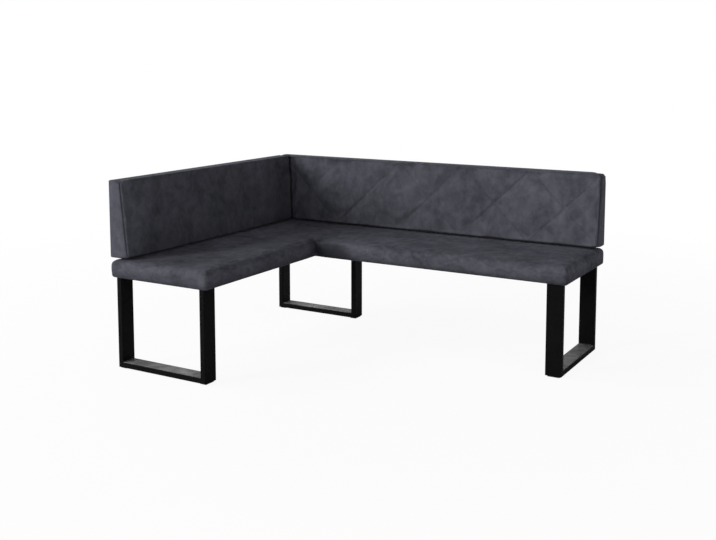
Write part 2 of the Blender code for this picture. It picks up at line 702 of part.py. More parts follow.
def make_corner_plate(finishes):
    """A flat steel L under both backs, which ties their foot rails together at the corner."""
    middle = STRAP_REAR + BACK_BOARD + GAP + FOOT_RAIL_DEPTH / 2
    near, far = middle - STRAP_WIDTH / 2, middle + STRAP_WIDTH / 2
    top = BACK_FOOT - GAP
    plan = [(LEFT + near, REAR - near), (LEFT + near, REAR - CORNER_PLATE_LEG),
            (LEFT + far, REAR - CORNER_PLATE_LEG), (LEFT + far, REAR - far),
            (LEFT + CORNER_PLATE_LEG, REAR - far), (LEFT + CORNER_PLATE_LEG, REAR - near)]
    bm = bmesh.new()
    loft(bm, [[(x, y, z) for x, y in plan] for z in (top - CORNER_PLATE, top)])
    plate = finish_object("corner_plate", bm, finishes["steel"])
    places = []
    for row in CORNER_SCREW_ROWS:
        for x, y in ((LEFT + row, REAR - middle), (LEFT + middle, REAR - row)):
            places.append(Matrix.Translation((x, y, top - CORNER_PLATE)))
    cut(plate, strap_holes("corner_plate_holes", places, CORNER_PLATE))


def build():
    """Make the bench from the floor up."""
    clear_scene()
    finishes = {
        "fabric": make_material("charcoal_microfibre", (0.055, 0.057, 0.068), 0.85),
        "foam": make_material("foam", (0.80, 0.77, 0.62), 0.95),
        "timber": make_material("softwood", (0.62, 0.45, 0.27), 0.75),
        "plywood": make_material("plywood", (0.55, 0.38, 0.22), 0.70),
        "steel": make_material("black_powder_coat", (0.012, 0.012, 0.012), 0.45),
        "plastic": make_material("black_plastic", (0.020, 0.020, 0.020), 0.60),
        "zinc": make_material("zinc_plate", (0.62, 0.62, 0.60), 0.35, 1.0),
        "lining": make_material("black_lining", (0.018, 0.018, 0.019), 0.90),
    }
    legs = {
        "left_leg": ((LEFT + LEG_SIDE_INSET, FRONT + LEG_END_INSET, 0.0), 0.0),
        "corner_leg": ((LEFT + LEG_SIDE_INSET, REAR - CORNER_LEG_INSET - TUBE_WIDTH, 0.0), 0.0),
        "right_leg": ((RIGHT - LEG_END_INSET - TUBE_WIDTH, REAR - LEG_SIDE_INSET, 0.0), -pi / 2),
    }
    leg_holes = {name: make_leg_frame(name, *where, finishes) for name, where in legs.items()}

    make_back("long_back", LONG_SIDE, lambda height: 0.0, True,
              bracket_places(LONG_SIDE, LONG_BRACKET_COUNT, LONG_BRACKET_ENDS),
              (RIGHT, REAR, 0.0), pi, finishes)
    make_back("short_back", SHORT_SIDE, lambda height: back_depth(height) + CORNER_JOINT, False,
              bracket_places(SHORT_SIDE, SHORT_BRACKET_COUNT, SHORT_BRACKET_ENDS),
              (LEFT, REAR, 0.0), -pi / 2, finishes)
    make_corner_plate(finishes)

    make_seat_cover(finishes["fabric"])
    make_seat_foam(finishes["foam"])
    make_decks(finishes["plywood"])
    make_seat_rails(finishes["timber"], {
        "rear_rail_long": (leg_holes["corner_leg"], leg_holes["right_leg"]),
        "front_rail_long": (leg_holes["corner_leg"], leg_holes["right_leg"]),
        "end_rail_right": (leg_holes["right_leg"],),
        "end_rail_left": (leg_holes["left_leg"],),
    })
    make_dust_cover(finishes["lining"], leg_holes.values())


build()
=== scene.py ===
"""Corner bench: the looks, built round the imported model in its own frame.

Metres, +Z up, origin on the floor under the middle of the bench. The long side runs along X with
its back on +Y, the short side runs along Y with its back on -X, and the sitter faces -Y.
"""
import json
from math import cos, hypot, pi, radians

import bmesh
import bpy
import numpy as np
from mathutils import Matrix, Vector, noise

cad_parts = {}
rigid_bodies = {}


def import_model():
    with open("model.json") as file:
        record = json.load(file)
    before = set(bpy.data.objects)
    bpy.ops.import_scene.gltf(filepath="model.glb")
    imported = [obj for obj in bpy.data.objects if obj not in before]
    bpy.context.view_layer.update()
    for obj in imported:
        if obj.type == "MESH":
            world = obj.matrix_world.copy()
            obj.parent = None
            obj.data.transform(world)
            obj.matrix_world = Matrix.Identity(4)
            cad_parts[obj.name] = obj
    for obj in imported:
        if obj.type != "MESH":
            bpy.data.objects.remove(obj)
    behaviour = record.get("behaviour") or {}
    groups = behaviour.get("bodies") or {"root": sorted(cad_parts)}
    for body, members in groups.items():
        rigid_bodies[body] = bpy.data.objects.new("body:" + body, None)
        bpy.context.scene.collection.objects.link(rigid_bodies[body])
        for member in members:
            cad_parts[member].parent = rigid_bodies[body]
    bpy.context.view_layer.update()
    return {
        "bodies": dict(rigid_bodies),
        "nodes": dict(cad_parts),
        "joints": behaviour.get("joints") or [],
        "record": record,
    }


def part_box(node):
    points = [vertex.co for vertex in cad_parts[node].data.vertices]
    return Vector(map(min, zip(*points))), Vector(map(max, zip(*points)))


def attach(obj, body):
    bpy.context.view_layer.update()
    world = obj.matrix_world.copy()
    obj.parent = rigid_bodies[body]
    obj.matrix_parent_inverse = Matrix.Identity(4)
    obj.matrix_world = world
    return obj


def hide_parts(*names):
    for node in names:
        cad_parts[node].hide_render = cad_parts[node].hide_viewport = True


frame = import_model()
nodes = frame["nodes"]


# Viewpoint
# The camera stands in front of the room end and a little above the back, as for a sales picture.
# It was fitted to the corners of the bench, with half of the lens shift traded for pitch, so that
# the bench also stays in the picture from other sides.
def placed(name, data):
    """A new object in the scene."""
    item = bpy.data.objects.new(name, data)
    bpy.context.scene.collection.objects.link(item)
    return item


camera = placed("viewpoint", bpy.data.cameras.new("viewpoint"))
camera.location = (2.0781, -3.6211, 1.2940)
camera.rotation_euler = (radians(90 - 6.249), 0.0, radians(30.256))
camera.data.sensor_width = 36.0
camera.data.lens = 50.19
camera.data.shift_y = -0.145
bpy.context.scene.camera = camera


# Leg frames
# Flat rectangular steel tube, mitred at the floor and welded, under a flat plate that takes the
# screws. Each frame is powder coated matt black after welding.
def new_material(name):
    """A material with nodes: the material, its tree and its shader."""
    material = bpy.data.materials.new(name)
    material.use_nodes = True
    return material, material.node_tree, material.node_tree.nodes["Principled BSDF"]


def feed(tree, item, inputs):
    """Give a node's inputs their values, and link them where a socket is given."""
    for key, value in dict(inputs).items():
        if isinstance(value, bpy.types.NodeSocket):
            tree.links.new(value, item.inputs[key])
        else:
            item.inputs[key].default_value = value


def add(tree, kind, inputs=(), **settings):
    """A node with its settings and its inputs."""
    item = tree.nodes.new(kind)
    for key, value in settings.items():
        setattr(item, key, value)
    feed(tree, item, inputs)
    return item


def mapped(tree, scale=(1.0, 1.0, 1.0), turn=(0.0, 0.0, 0.0), place=(0.0, 0.0, 0.0)):
    """The piece's own coordinates, stretched, turned and moved."""
    coordinates = add(tree, "ShaderNodeTexCoord").outputs["Object"]
    return add(tree, "ShaderNodeMapping", {"Vector": coordinates, "Scale": scale,
                                           "Rotation": turn, "Location": place}).outputs[0]


def noise_field(tree, vector, scale, detail=3.0, roughness=0.5, distortion=0.0):
    """A noise texture's value on a vector."""
    return add(tree, "ShaderNodeTexNoise",
               {"Vector": vector, "Scale": scale, "Detail": detail, "Roughness": roughness,
                "Distortion": distortion}).outputs["Fac"]


def ranged(tree, value, low, high, to_low, to_high):
    """A value carried from one range to another and kept inside it."""
    return add(tree, "ShaderNodeMapRange",
               {"Value": value, "From Min": low, "From Max": high,
                "To Min": to_low, "To Max": to_high}).outputs[0]


def calculated(tree, operation, first, second, third=0.0):
    """One step of arithmetic on values or sockets."""
    return add(tree, "ShaderNodeMath", {0: first, 1: second, 2: third},
               operation=operation).outputs[0]


def facing_up(tree):
    """How far a face looks up: 1 on a top, 0 on a side."""
    normal = add(tree, "ShaderNodeNewGeometry").outputs["Normal"]
    return add(tree, "ShaderNodeSeparateXYZ", {0: normal}).outputs["Z"]


def blended(tree, factor, first, second):
    """A colour between two, by a factor."""
    return add(tree, "ShaderNodeMix", {0: factor, 6: first, 7: second},
               data_type="RGBA").outputs[2]


def bumped(tree, shader, height, strength, distance, below=None):
    """Relief from a height, over the relief below it where there is one."""
    inputs = {"Height": height, "Strength": strength, "Distance": distance}
    if below is not None:
        inputs["Normal"] = below
    relief = add(tree, "ShaderNodeBump", inputs).outputs[0]
    tree.links.new(relief, shader.inputs["Normal"])
    return relief


def dress(names, material):
    """Give carried-over pieces of the model their finish."""
    for name in names:
        nodes[name].data.materials.clear()
        nodes[name].data.materials.append(material)


def powder_coat():
    """Matt black powder, fine orange peel; upward faces pale with dust and a painted highlight."""
    material, tree, shader = new_material("matt_black_powder_coat")
    place = mapped(tree)
    peel = noise_field(tree, place, 950.0, 2.0, 0.6)
    cloud = noise_field(tree, place, 14.0, 4.0, 0.6, 0.4)
    # what faces up: partly dust, partly a painted highlight on the tops
    dust_and_painted_light = calculated(tree, "MULTIPLY", ranged(tree, facing_up(tree), 0.6, 1.0, 0.0, 1.0),
                      ranged(tree, cloud, 0.35, 0.7, 0.3, 1.0))
    black = blended(tree, ranged(tree, cloud, 0.3, 0.7, 0.0, 1.0),
                    (0.0016, 0.0016, 0.0017, 1.0), (0.0026, 0.0026, 0.0027, 1.0))
    feed(tree, shader, {"Base Color": blended(tree, dust_and_painted_light, black, (0.290, 0.290, 0.293, 1.0)),
                        "Roughness": ranged(tree, cloud, 0.3, 0.7, 0.42, 0.56),
                        "Specular IOR Level": 0.05})
    bumped(tree, shader, peel, 0.12, 0.0004)
    return material


LEG_NAMES = ("left_leg", "corner_leg", "right_leg")
steel_finish = powder_coat()
dress([f"{leg}_{part}" for leg in LEG_NAMES
       for part in ("rail", "wall_post", "room_post", "plate")], steel_finish)

LEFT, RIGHT, REAR, FRONT = -0.84, 0.84, 0.6425, -0.6425
TUBE_WIDTH, TUBE_THICKNESS, LEG_SPAN = 0.070, 0.024, 0.458
TUBE_FOOT, PLATE_FOOT = 0.0043, 0.3847
WALL_SETBACK, END_SETBACK, CORNER_SETBACK = 0.008, 0.026, 0.018
leg_places = {
    "left_leg": Matrix.Translation((LEFT + WALL_SETBACK, FRONT + END_SETBACK, 0.0)),
    "corner_leg": Matrix.Translation((LEFT + WALL_SETBACK,
                                      REAR - CORNER_SETBACK - TUBE_WIDTH, 0.0)),
    "right_leg": (Matrix.Translation((RIGHT - END_SETBACK - TUBE_WIDTH, REAR - WALL_SETBACK, 0.0))
                  @ Matrix.Rotation(-pi / 2, 4, "Z")),
}


# Weld beads
# Short fillet welds in the inner corners of each frame: across the rail at both posts, and along
# the post heads under the plate. Coated with the frame.
def new_mesh(name, points, edges=(), faces=()):
    """A mesh of points, with edges or faces where they are given."""
    mesh = bpy.data.meshes.new(name)
    mesh.from_pydata([tuple(point) for point in points], edges, faces)
    return mesh


def chained(name, runs):
    """A mesh of several runs of points, each run joined by edges."""
    points, edges = [], []
    for run in runs:
        spots = range(len(points), len(points) + len(run))
        edges += zip(spots, spots[1:])
        points += list(run)
    return new_mesh(name, points, edges)


def geometry_tree(name, sizes):
    """A geometry tree with named sizes: the tree, its input node and its output node."""
    tree = bpy.data.node_groups.new(name, "GeometryNodeTree")
    face = tree.interface
    face.new_socket("Geometry", in_out="INPUT", socket_type="NodeSocketGeometry")
    for label, value in sizes.items():
        kind = "NodeSocketVector" if isinstance(value, tuple) else "NodeSocketFloat"
        face.new_socket(label, in_out="INPUT", socket_type=kind).default_value = value
    face.new_socket("Geometry", in_out="OUTPUT", socket_type="NodeSocketGeometry")
    return tree, tree.nodes.new("NodeGroupInput").outputs, tree.nodes.new("NodeGroupOutput")


def close_tree(tree, finish, geometry, material):
    """End a tree: realised, smooth, and in its material."""
    real = add(tree, "GeometryNodeRealizeInstances", {0: geometry}).outputs[0]
    smooth = add(tree, "GeometryNodeSetShadeSmooth", {0: real}).outputs[0]
    coated = add(tree, "GeometryNodeSetMaterial", {0: smooth, "Material": material}).outputs[0]
    tree.links.new(coated, finish.inputs[0])


def grown(name, mesh, tree, values=()):
    """Run a tree on a mesh, and keep the result as a plain piece."""
    piece = placed(name, mesh)
    modifier = piece.modifiers.new(name, "NODES")
    modifier.node_group = tree
    values = dict(values)
    for item in tree.interface.items_tree:
        if item.in_out == "INPUT" and item.name in values:
            modifier[item.identifier] = values[item.name]
    graph = bpy.context.evaluated_depsgraph_get()
    plain = bpy.data.meshes.new_from_object(piece.evaluated_get(graph))
    piece.modifiers.clear()
    piece.data = plain
    return piece


def vector(tree, parts):
    """A vector from its parts by number, 0 where none is given."""
    return add(tree, "ShaderNodeCombineXYZ", parts).outputs[0]


def strung_tree(name, width, length, pitch, segments, rings, material):
    """Small rounded bits on every pitch of the runs, lying along them."""
    tree, sizes, finish = geometry_tree(name, {"Width": width, "Length": length, "Pitch": pitch})
    path = add(tree, "GeometryNodeMeshToCurve", {0: sizes["Geometry"]}).outputs[0]
    stops = add(tree, "GeometryNodeCurveToPoints", {0: path, "Length": sizes["Pitch"]},
                mode="LENGTH")
    bit = add(tree, "GeometryNodeMeshUVSphere",
              {"Segments": segments, "Rings": rings, "Radius": 0.5}).outputs[0]
    size = vector(tree, {0: sizes["Width"], 1: sizes["Width"], 2: sizes["Length"]})
    strung = add(tree, "GeometryNodeInstanceOnPoints",
                 {"Points": stops.outputs[0], "Instance": bit,
                  "Rotation": stops.outputs["Rotation"], "Scale": size}).outputs[0]
    close_tree(tree, finish, strung, material)
    return tree


BEAD_WIDTH, RIPPLE_LENGTH, RIPPLE_STEP = 0.0036, 0.00288, 0.0014
BEAD_END, BEAD_GAP = 0.004, 0.0004
weld_tree = strung_tree("weld_bead", BEAD_WIDTH, RIPPLE_LENGTH, RIPPLE_STEP, 8, 5, steel_finish)
near, far = TUBE_THICKNESS + BEAD_GAP, LEG_SPAN - TUBE_THICKNESS - BEAD_GAP
floor_line, head_line = TUBE_FOOT + TUBE_THICKNESS + BEAD_GAP, PLATE_FOOT - BEAD_GAP
for leg, place in leg_places.items():
    runs = [[place @ Vector((along, across, height))
             for across in (BEAD_END, TUBE_WIDTH - BEAD_END)]
            for height in (floor_line, head_line) for along in (near, far)]
    welds = grown(f"{leg}_welds", chained(f"{leg}_welds", runs), weld_tree)
    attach(welds, "root")


# Glides
# Hard black plastic pads under both ends of each floor rail, plain and with a fine moulded grain.
def moulded_plastic():
    """Black moulded plastic with a fine spark-eroded grain."""
    material, tree, shader = new_material("black_moulded_plastic")
    place = mapped(tree)
    grain = noise_field(tree, place, 1400.0, 2.0)
    wear = noise_field(tree, place, 60.0, 4.0, 0.6)
    feed(tree, shader, {
        "Base Color": blended(tree, wear, (0.010, 0.010, 0.010, 1.0), (0.022, 0.022, 0.023, 1.0)),
        "Roughness": ranged(tree, wear, 0.3, 0.7, 0.5, 0.7), "Specular IOR Level": 0.3})
    bumped(tree, shader, grain, 0.2, 0.0003)
    return material


ENDS = ("wall", "room")
plastic_finish = moulded_plastic()
dress([f"{leg}_{end}_glide" for leg in LEG_NAMES for end in ENDS], plastic_finish)


# Screws
# Zinc plated countersunk wood screws. The leg screws are in the model; the small ones hold the
# bracket feet under the seat, the straps to the stiles in the backs, and the corner plate.
def zinc_plate():
    """Bright zinc with a faint cloud of passivation."""
    material, tree, shader = new_material("zinc_plate")
    place = mapped(tree)
    cloud = noise_field(tree, place, 220.0, 4.0, 0.6, 0.5)
    feed(tree, shader, {
        "Base Color": blended(tree, cloud, (0.50, 0.50, 0.48, 1.0), (0.68, 0.68, 0.70, 1.0)),
        "Roughness": ranged(tree, cloud, 0.3, 0.7, 0.28, 0.46), "Metallic": 1.0})
    bumped(tree, shader, noise_field(tree, place, 1800.0, 2.0), 0.1, 0.0002)
    return material


zinc_finish = zinc_plate()
dress([f"{leg}_{end}_screw" for leg in LEG_NAMES for end in ENDS], zinc_finish)


def screw_tree(material):
    """A countersunk head with a cross recess and its shank, on each point of a mesh."""
    tree, sizes, finish = geometry_tree("wood_screw", {
        "Head": 0.0043, "Shank": 0.0019, "Cone": 0.0021, "Length": 0.016, "Recess": 0.0009,
        "Turn": (0.0, 0.0, 0.0)})
    head = add(tree, "GeometryNodeMeshCone",
               {"Vertices": 20, "Radius Top": sizes["Shank"], "Radius Bottom": sizes["Head"],
                "Depth": sizes["Cone"]}).outputs[0]
    reach = calculated(tree, "MULTIPLY", sizes["Head"], 1.1)
    bars = []
    for along in (0, 1):
        size = vector(tree, {along: reach, 1 - along: sizes["Recess"], 2: sizes["Cone"]})
        bars.append(add(tree, "GeometryNodeMeshCube", {"Size": size}).outputs["Mesh"])
    cut = add(tree, "GeometryNodeMeshBoolean", {0: head}, operation="DIFFERENCE", solver="EXACT")
    for bar in bars:
        tree.links.new(bar, cut.inputs[1])
    shank = add(tree, "GeometryNodeMeshCone",
                {"Vertices": 12, "Radius Top": 0.0004, "Radius Bottom": sizes["Shank"],
                 "Depth": sizes["Length"]}).outputs[0]
    raised = add(tree, "GeometryNodeTransform",
                 {0: shank, "Translation": vector(tree, {2: sizes["Cone"]})}).outputs[0]
    whole = add(tree, "GeometryNodeJoinGeometry")
    tree.links.new(cut.outputs[0], whole.inputs[0])
    tree.links.new(raised, whole.inputs[0])
    stood = add(tree, "GeometryNodeInstanceOnPoints",
                {"Points": sizes["Geometry"], "Instance": whole.outputs[0],
                 "Rotation": sizes["Turn"]}).outputs[0]
    close_tree(tree, finish, stood, material)
    return tree


long_brackets = [RIGHT - along for along in (0.180, 0.660, 1.140)]
short_brackets = [REAR - along for along in (0.360, 1.020)]
FOOT_PLATE, STRAP_REAR, BACK_FOOT = 0.3857, 0.0018, 0.474
FOOT_SCREWS = ((-0.010, 0.048), (0.010, 0.068))
STRAP_HEIGHTS, PLATE_ROWS = (0.017, 0.145), (0.150, 0.220)
foot_points, long_points, short_points = [], [], []
for side, depth in FOOT_SCREWS:
    foot_points += [(x - side, REAR - depth, FOOT_PLATE) for x in long_brackets]
    foot_points += [(LEFT + depth, y - side, FOOT_PLATE) for y in short_brackets]
for height in STRAP_HEIGHTS:
    long_points += [(x, REAR - STRAP_REAR, BACK_FOOT + height) for x in long_brackets]
    short_points += [(LEFT + STRAP_REAR, y, BACK_FOOT + height) for y in short_brackets]
PLATE_LINE, CORNER_HEIGHT = 0.0366, 0.4712
plate_points = []
for row in PLATE_ROWS:
    plate_points += [(LEFT + row, REAR - PLATE_LINE, CORNER_HEIGHT),
                     (LEFT + PLATE_LINE, REAR - row, CORNER_HEIGHT)]
wood_screw = screw_tree(zinc_finish)
for name, points, turn in (
        ("bracket_foot_screws", foot_points, (0.0, 0.0, 0.3)),
        ("long_strap_screws", long_points, (pi / 2, 0.0, 0.0)),
        ("short_strap_screws", short_points, (0.0, pi / 2, 0.0)),
        ("corner_plate_screws", plate_points, (0.0, 0.0, 0.2))):
    screws = grown(name, new_mesh(name, points), wood_screw, {"Turn": turn})
    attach(screws, "root")


# Brackets and corner plate
# Flat steel angles, bent cold, and a flat L under the backs, coated like the legs.
dress([f"long_back_bracket_{number}" for number in (1, 2, 3)]
      + [f"short_back_bracket_{number}" for number in (1, 2)] + ["corner_plate"], steel_finish)


# Seat frame
# Planed softwood laths, their grain along them, with plywood decks on top. The backs hold a
# plywood board, a foot rail and stiles of the same stuff.
def timber(name, along):
    """Softwood with its grain along an axis: growth rings and fibre."""
    material, tree, shader = new_material(name)
    stretch = [14.0, 14.0, 14.0]
    stretch["XYZ".index(along)] = 0.9
    place = mapped(tree, stretch)
    rings = add(tree, "ShaderNodeTexWave",
                {"Vector": place, "Scale": 1.1, "Distortion": 7.0, "Detail": 3.0,
                 "Detail Scale": 1.4}, wave_type="RINGS",
                rings_direction=along).outputs["Fac"]
    fibre = noise_field(tree, mapped(tree, [scale * 14 for scale in stretch]), 1.6, 4.0, 0.7)
    grain = calculated(tree, "ADD", ranged(tree, rings, 0.0, 1.0, 0.0, 0.7),
                       ranged(tree, fibre, 0.3, 0.7, 0.0, 0.3))
    feed(tree, shader, {"Base Color": blended(tree, grain, PALE_WOOD, DARK_WOOD),
                        "Roughness": ranged(tree, grain, 0.0, 1.0, 0.78, 0.62)})
    bumped(tree, shader, fibre, 0.25, 0.0006)
    return material


def plywood():
    """Birch ply: pale rotary-cut faces and dark glue lines on the edges."""
    material, tree, shader = new_material("plywood")
    face = noise_field(tree, mapped(tree, (1.2, 16.0, 16.0)), 2.2, 5.0, 0.65, 0.8)
    plies = add(tree, "ShaderNodeTexWave", {"Vector": mapped(tree), "Scale": 60.0,
                                            "Distortion": 0.0},
                bands_direction="Z").outputs["Fac"]
    level = calculated(tree, "ABSOLUTE", facing_up(tree), 0.0)
    edge = calculated(tree, "SUBTRACT", 1.0, level)
    lines = calculated(tree, "MULTIPLY", calculated(tree, "GREATER_THAN", plies, 0.75), edge)
    veneer = blended(tree, face, (0.56, 0.40, 0.24, 1.0), (0.42, 0.27, 0.15, 1.0))
    feed(tree, shader, {"Base Color": blended(tree, lines, veneer, (0.16, 0.09, 0.05, 1.0)),
                        "Roughness": ranged(tree, face, 0.3, 0.7, 0.6, 0.75)})
    bumped(tree, shader, face, 0.2, 0.0005)
    return material


PALE_WOOD, DARK_WOOD = (0.66, 0.49, 0.30, 1.0), (0.46, 0.29, 0.15, 1.0)
along_x = timber("softwood_along_x", "X")
along_y = timber("softwood_along_y", "Y")
upright = timber("softwood_upright", "Z")
dress(["rear_rail_long", "front_rail_long", "end_rail_left", "cross_rail_short",
       "long_back_foot_rail"], along_x)
dress(["end_rail_right", "side_rail_corner", "cross_rail_long_1", "cross_rail_long_2",
       "side_rail_short", "front_rail_short", "short_back_foot_rail"], along_y)
dress([f"long_back_stile_{number}" for number in (1, 2, 3)]
      + [f"short_back_stile_{number}" for number in (1, 2)], upright)
dress(["deck_long", "deck_short", "long_back_board", "short_back_board"], plywood())


# Dust cover
# Black spunbonded cloth that closes the underside, with its bonding dots, stapled every few
# centimetres to the rails.
def spunbond():
    """Thin black nonwoven: a grid of pressed dots on random fibres."""
    material, tree, shader = new_material("black_spunbond")
    place = mapped(tree, turn=(0.0, 0.0, pi / 4))
    dots = add(tree, "ShaderNodeTexVoronoi", {"Vector": place, "Scale": 420.0,
                                              "Randomness": 0.0}).outputs["Distance"]
    fibres = noise_field(tree, place, 700.0, 4.0, 0.7, 2.0)
    pressed = ranged(tree, dots, 0.15, 0.35, 0.0, 1.0)
    relief = calculated(tree, "ADD", pressed, calculated(tree, "MULTIPLY", fibres, 0.6))
    black = blended(tree, pressed, (0.007, 0.007, 0.008, 1.0), (0.020, 0.020, 0.021, 1.0))
    feed(tree, shader, {"Base Color": black, "Roughness": 0.85, "Specular IOR Level": 0.25})
    bumped(tree, shader, relief, 0.5, 0.0004)
    return material


dress(["dust_cover"], spunbond())


def staple_tree(material):
    """A crown of flat wire and its two legs on each point, turned by the point's own angle."""
    tree, sizes, finish = geometry_tree("staple", {
        "Crown": 0.0100, "Wire": 0.0011, "Thickness": 0.0006, "Leg": 0.0060})
    parts = add(tree, "GeometryNodeJoinGeometry")
    for shift in (0.0, -0.5, 0.5):
        box = ({0: sizes["Crown"], 1: sizes["Wire"], 2: sizes["Thickness"]} if not shift else
               {0: sizes["Thickness"], 1: sizes["Wire"], 2: sizes["Leg"]})
        bar = add(tree, "GeometryNodeMeshCube", {"Size": vector(tree, box)}).outputs["Mesh"]
        place = vector(tree, {0: calculated(tree, "MULTIPLY", sizes["Crown"], shift),
                              2: calculated(tree, "MULTIPLY", sizes["Leg"], abs(shift))})
        tree.links.new(add(tree, "GeometryNodeTransform",
                           {0: bar, "Translation": place}).outputs[0], parts.inputs[0])
    angle = add(tree, "GeometryNodeInputNamedAttribute", {"Name": "angle"}).outputs[0]
    stood = add(tree, "GeometryNodeInstanceOnPoints",
                {"Points": sizes["Geometry"], "Instance": parts.outputs[0],
                 "Rotation": vector(tree, {2: angle})}).outputs[0]
    close_tree(tree, finish, stood, material)
    return tree


DEPTH, SEAT_LEFT, SEAT_REAR = 0.500, LEFT + 0.0061, REAR - 0.0061
INNER_X, INNER_Y = LEFT + DEPTH, REAR - DEPTH
STAPLE_INSET, STAPLE_PITCH, UNDERSIDE = 0.038, 0.036, 0.390
PLATE_MARGIN, STAPLE_SKEW = 0.008, 0.25
low_x, high_x, low_y, high_y = (SEAT_LEFT + STAPLE_INSET, RIGHT - STAPLE_INSET,
                                FRONT + STAPLE_INSET, SEAT_REAR - STAPLE_INSET)
corner_x, corner_y = INNER_X - STAPLE_INSET, INNER_Y + STAPLE_INSET
loop = [(low_x, low_y), (corner_x, low_y), (corner_x, corner_y), (high_x, corner_y),
        (high_x, high_y), (low_x, high_y)]
plates = []
for leg in LEG_NAMES:
    low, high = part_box(f"{leg}_plate")
    plates.append((low.x - PLATE_MARGIN, high.x + PLATE_MARGIN,
                   low.y - PLATE_MARGIN, high.y + PLATE_MARGIN))
staple_points, angles = [], []
for start, end in zip(loop, loop[1:] + loop[:1]):
    run = hypot(end[0] - start[0], end[1] - start[1])
    count = int(run / STAPLE_PITCH)
    for number in range(count):
        share = (number + 0.5) / count
        x, y = (a + (b - a) * share for a, b in zip(start, end))
        if not any(x0 < x < x1 and y0 < y < y1 for x0, x1, y0, y1 in plates):
            staple_points.append((x, y, UNDERSIDE - 0.0003))
            turn = 0.0 if start[1] == end[1] else pi / 2
            angles.append(turn + STAPLE_SKEW * noise.noise((x * 90, y * 90, 0)))
staple_mesh = new_mesh("staples", staple_points)
staple_mesh.attributes.new("angle", "FLOAT", "POINT").data.foreach_set("value", angles)
staples = grown("staples", staple_mesh, staple_tree(zinc_finish))
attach(staples, "root")


# Seat
# One L of foam under wadding and a single sewn cover: soft rounded edges, a low crown, sides
# drawn in a little between the corners, and the hem pulled under the rails.
# the cloth's painted shading: the level of its darkest painted shade, and the gain of its painted
# light
PAINTED_SHADE_LEVEL, PAINTED_LIGHT_GAIN = 0.22, 2.4
CHARCOAL = (0.028, 0.030, 0.036), (0.094, 0.094, 0.116)


def microfibre(name, stretch, shade=1.0, contrast=1.0, shift=(0.0, 0.0, 0.0)):
    """Charcoal suede cloth: brushed clouds of nap, faint scuffs, hardly any shine.

    The shade scales the whole cut of cloth; a darker copy of the one cloth is painted shade. The
    fold
    attribute is painted shading: down to a painted shade at 1, and painted paler, as light, towards
    -1.
    """
    material, tree, shader = new_material(name)
    place = mapped(tree, stretch, place=shift)
    cloud = noise_field(tree, place, 7.5, 3.0, 0.55, 0.5)
    patch = noise_field(tree, place, 27.0, 2.0, 0.5, 0.6)
    mottle = noise_field(tree, mapped(tree), 95.0, 2.0, 0.5, 0.4)
    scuff = noise_field(tree, place, 33.0, 2.0, 0.5, 1.2)
    ridge = calculated(tree, "ABSOLUTE", calculated(tree, "SUBTRACT", scuff, 0.5), 0.0)
    line = ranged(tree, ridge, 0.0, 0.018, 1.0, 0.0)
    tone = 0.5
    for field, weight in ((cloud, 1.10), (patch, 0.86), (mottle, 0.34)):
        tone = calculated(tree, "MULTIPLY_ADD", field, weight,
                          calculated(tree, "SUBTRACT", tone, weight / 2))
    tone = calculated(tree, "MULTIPLY_ADD", line, 0.05, tone)
    spread = 0.45 / contrast
    dark, pale = (tuple(channel * shade for channel in colour) + (1.0,) for colour in CHARCOAL)
    colour = blended(tree, ranged(tree, tone, 0.5 - spread, 0.5 + spread, 0.0, 1.0), dark, pale)
    # painted shading from the attribute: painted shade towards 1, painted light towards -1
    fold_and_painted_shade = add(tree, "ShaderNodeAttribute", attribute_name="fold_and_painted_shade").outputs["Fac"]
    gain = ranged(tree, fold_and_painted_shade, -1.0, 0.0, PAINTED_LIGHT_GAIN, 1.0)
    colour = add(tree, "ShaderNodeVectorMath", {0: colour, 3: gain}, operation="SCALE").outputs[0]
    deep = tuple(PAINTED_SHADE_LEVEL * (low + high) / 2 for low, high in zip(dark, pale))
    feed(tree, shader, {
        "Base Color": blended(tree, fold_and_painted_shade, colour, deep),
        "Roughness": ranged(tree, tone, 0.2, 0.8, 0.92, 0.78), "Specular IOR Level": 0.04,
        "Sheen Weight": 0.03, "Sheen Roughness": 0.45, "Sheen Tint": (0.80, 0.82, 1.0, 1.0)})
    nap = noise_field(tree, mapped(tree), 1300.0, 3.0, 0.7)
    relief = bumped(tree, shader, nap, 0.18, 0.0006)
    bumped(tree, shader, tone, 0.05, 0.0008, relief)
    return material


def edge_offsets(radius, steps):
    """Distances from an edge at which a quarter round is divided."""
    return [radius * (1 - cos(pi / 2 * step / steps)) for step in range(steps + 1)]


def between(start, end, pitch):
    """Even lines strictly between two places."""
    count = max(1, round(abs(end - start) / pitch))
    return [start + (end - start) * number / count for number in range(1, count)]


def shell(us, vs, ws, inside, split=None):
    """The skin of a block on grid lines, for the cells inside: its grid points and its faces.

    A split function says which way a face of the last side is cut in two, or gives None.
    """
    found, faces = {}, []

    def corner(u, v, w):
        return found.setdefault((u, v, w), len(found))

    columns, rows, last = len(us) - 1, len(vs) - 1, len(ws) - 1
    for u in range(columns):
        for v in range(rows):
            if not inside(u, v):
                continue
            ring = ((u, v), (u + 1, v), (u + 1, v + 1), (u, v + 1))
            faces.append([corner(*spot, 0) for spot in reversed(ring)])
            top = [corner(*spot, last) for spot in ring]
            way = split(u, v) if split else None
            if way is None:
                faces.append(top)
            else:
                top = top[way:] + top[:way]
                faces += [[top[0], top[1], top[2]], [top[2], top[3], top[0]]]
            for side, (du, dv) in enumerate(((0, -1), (1, 0), (0, 1), (-1, 0))):
                first, second = ring[side], ring[(side + 1) % 4]
                beside = (u + du, v + dv)
                if 0 <= beside[0] < columns and 0 <= beside[1] < rows and inside(*beside):
                    continue
                for w in range(last):
                    faces.append([corner(*first, w), corner(*second, w),
                                  corner(*second, w + 1), corner(*first, w + 1)])
    spots = np.array(list(found))
    lines = [np.array(line) for line in (us, vs, ws)]
    return np.stack([line[spots[:, axis]] for axis, line in enumerate(lines)], 1), faces


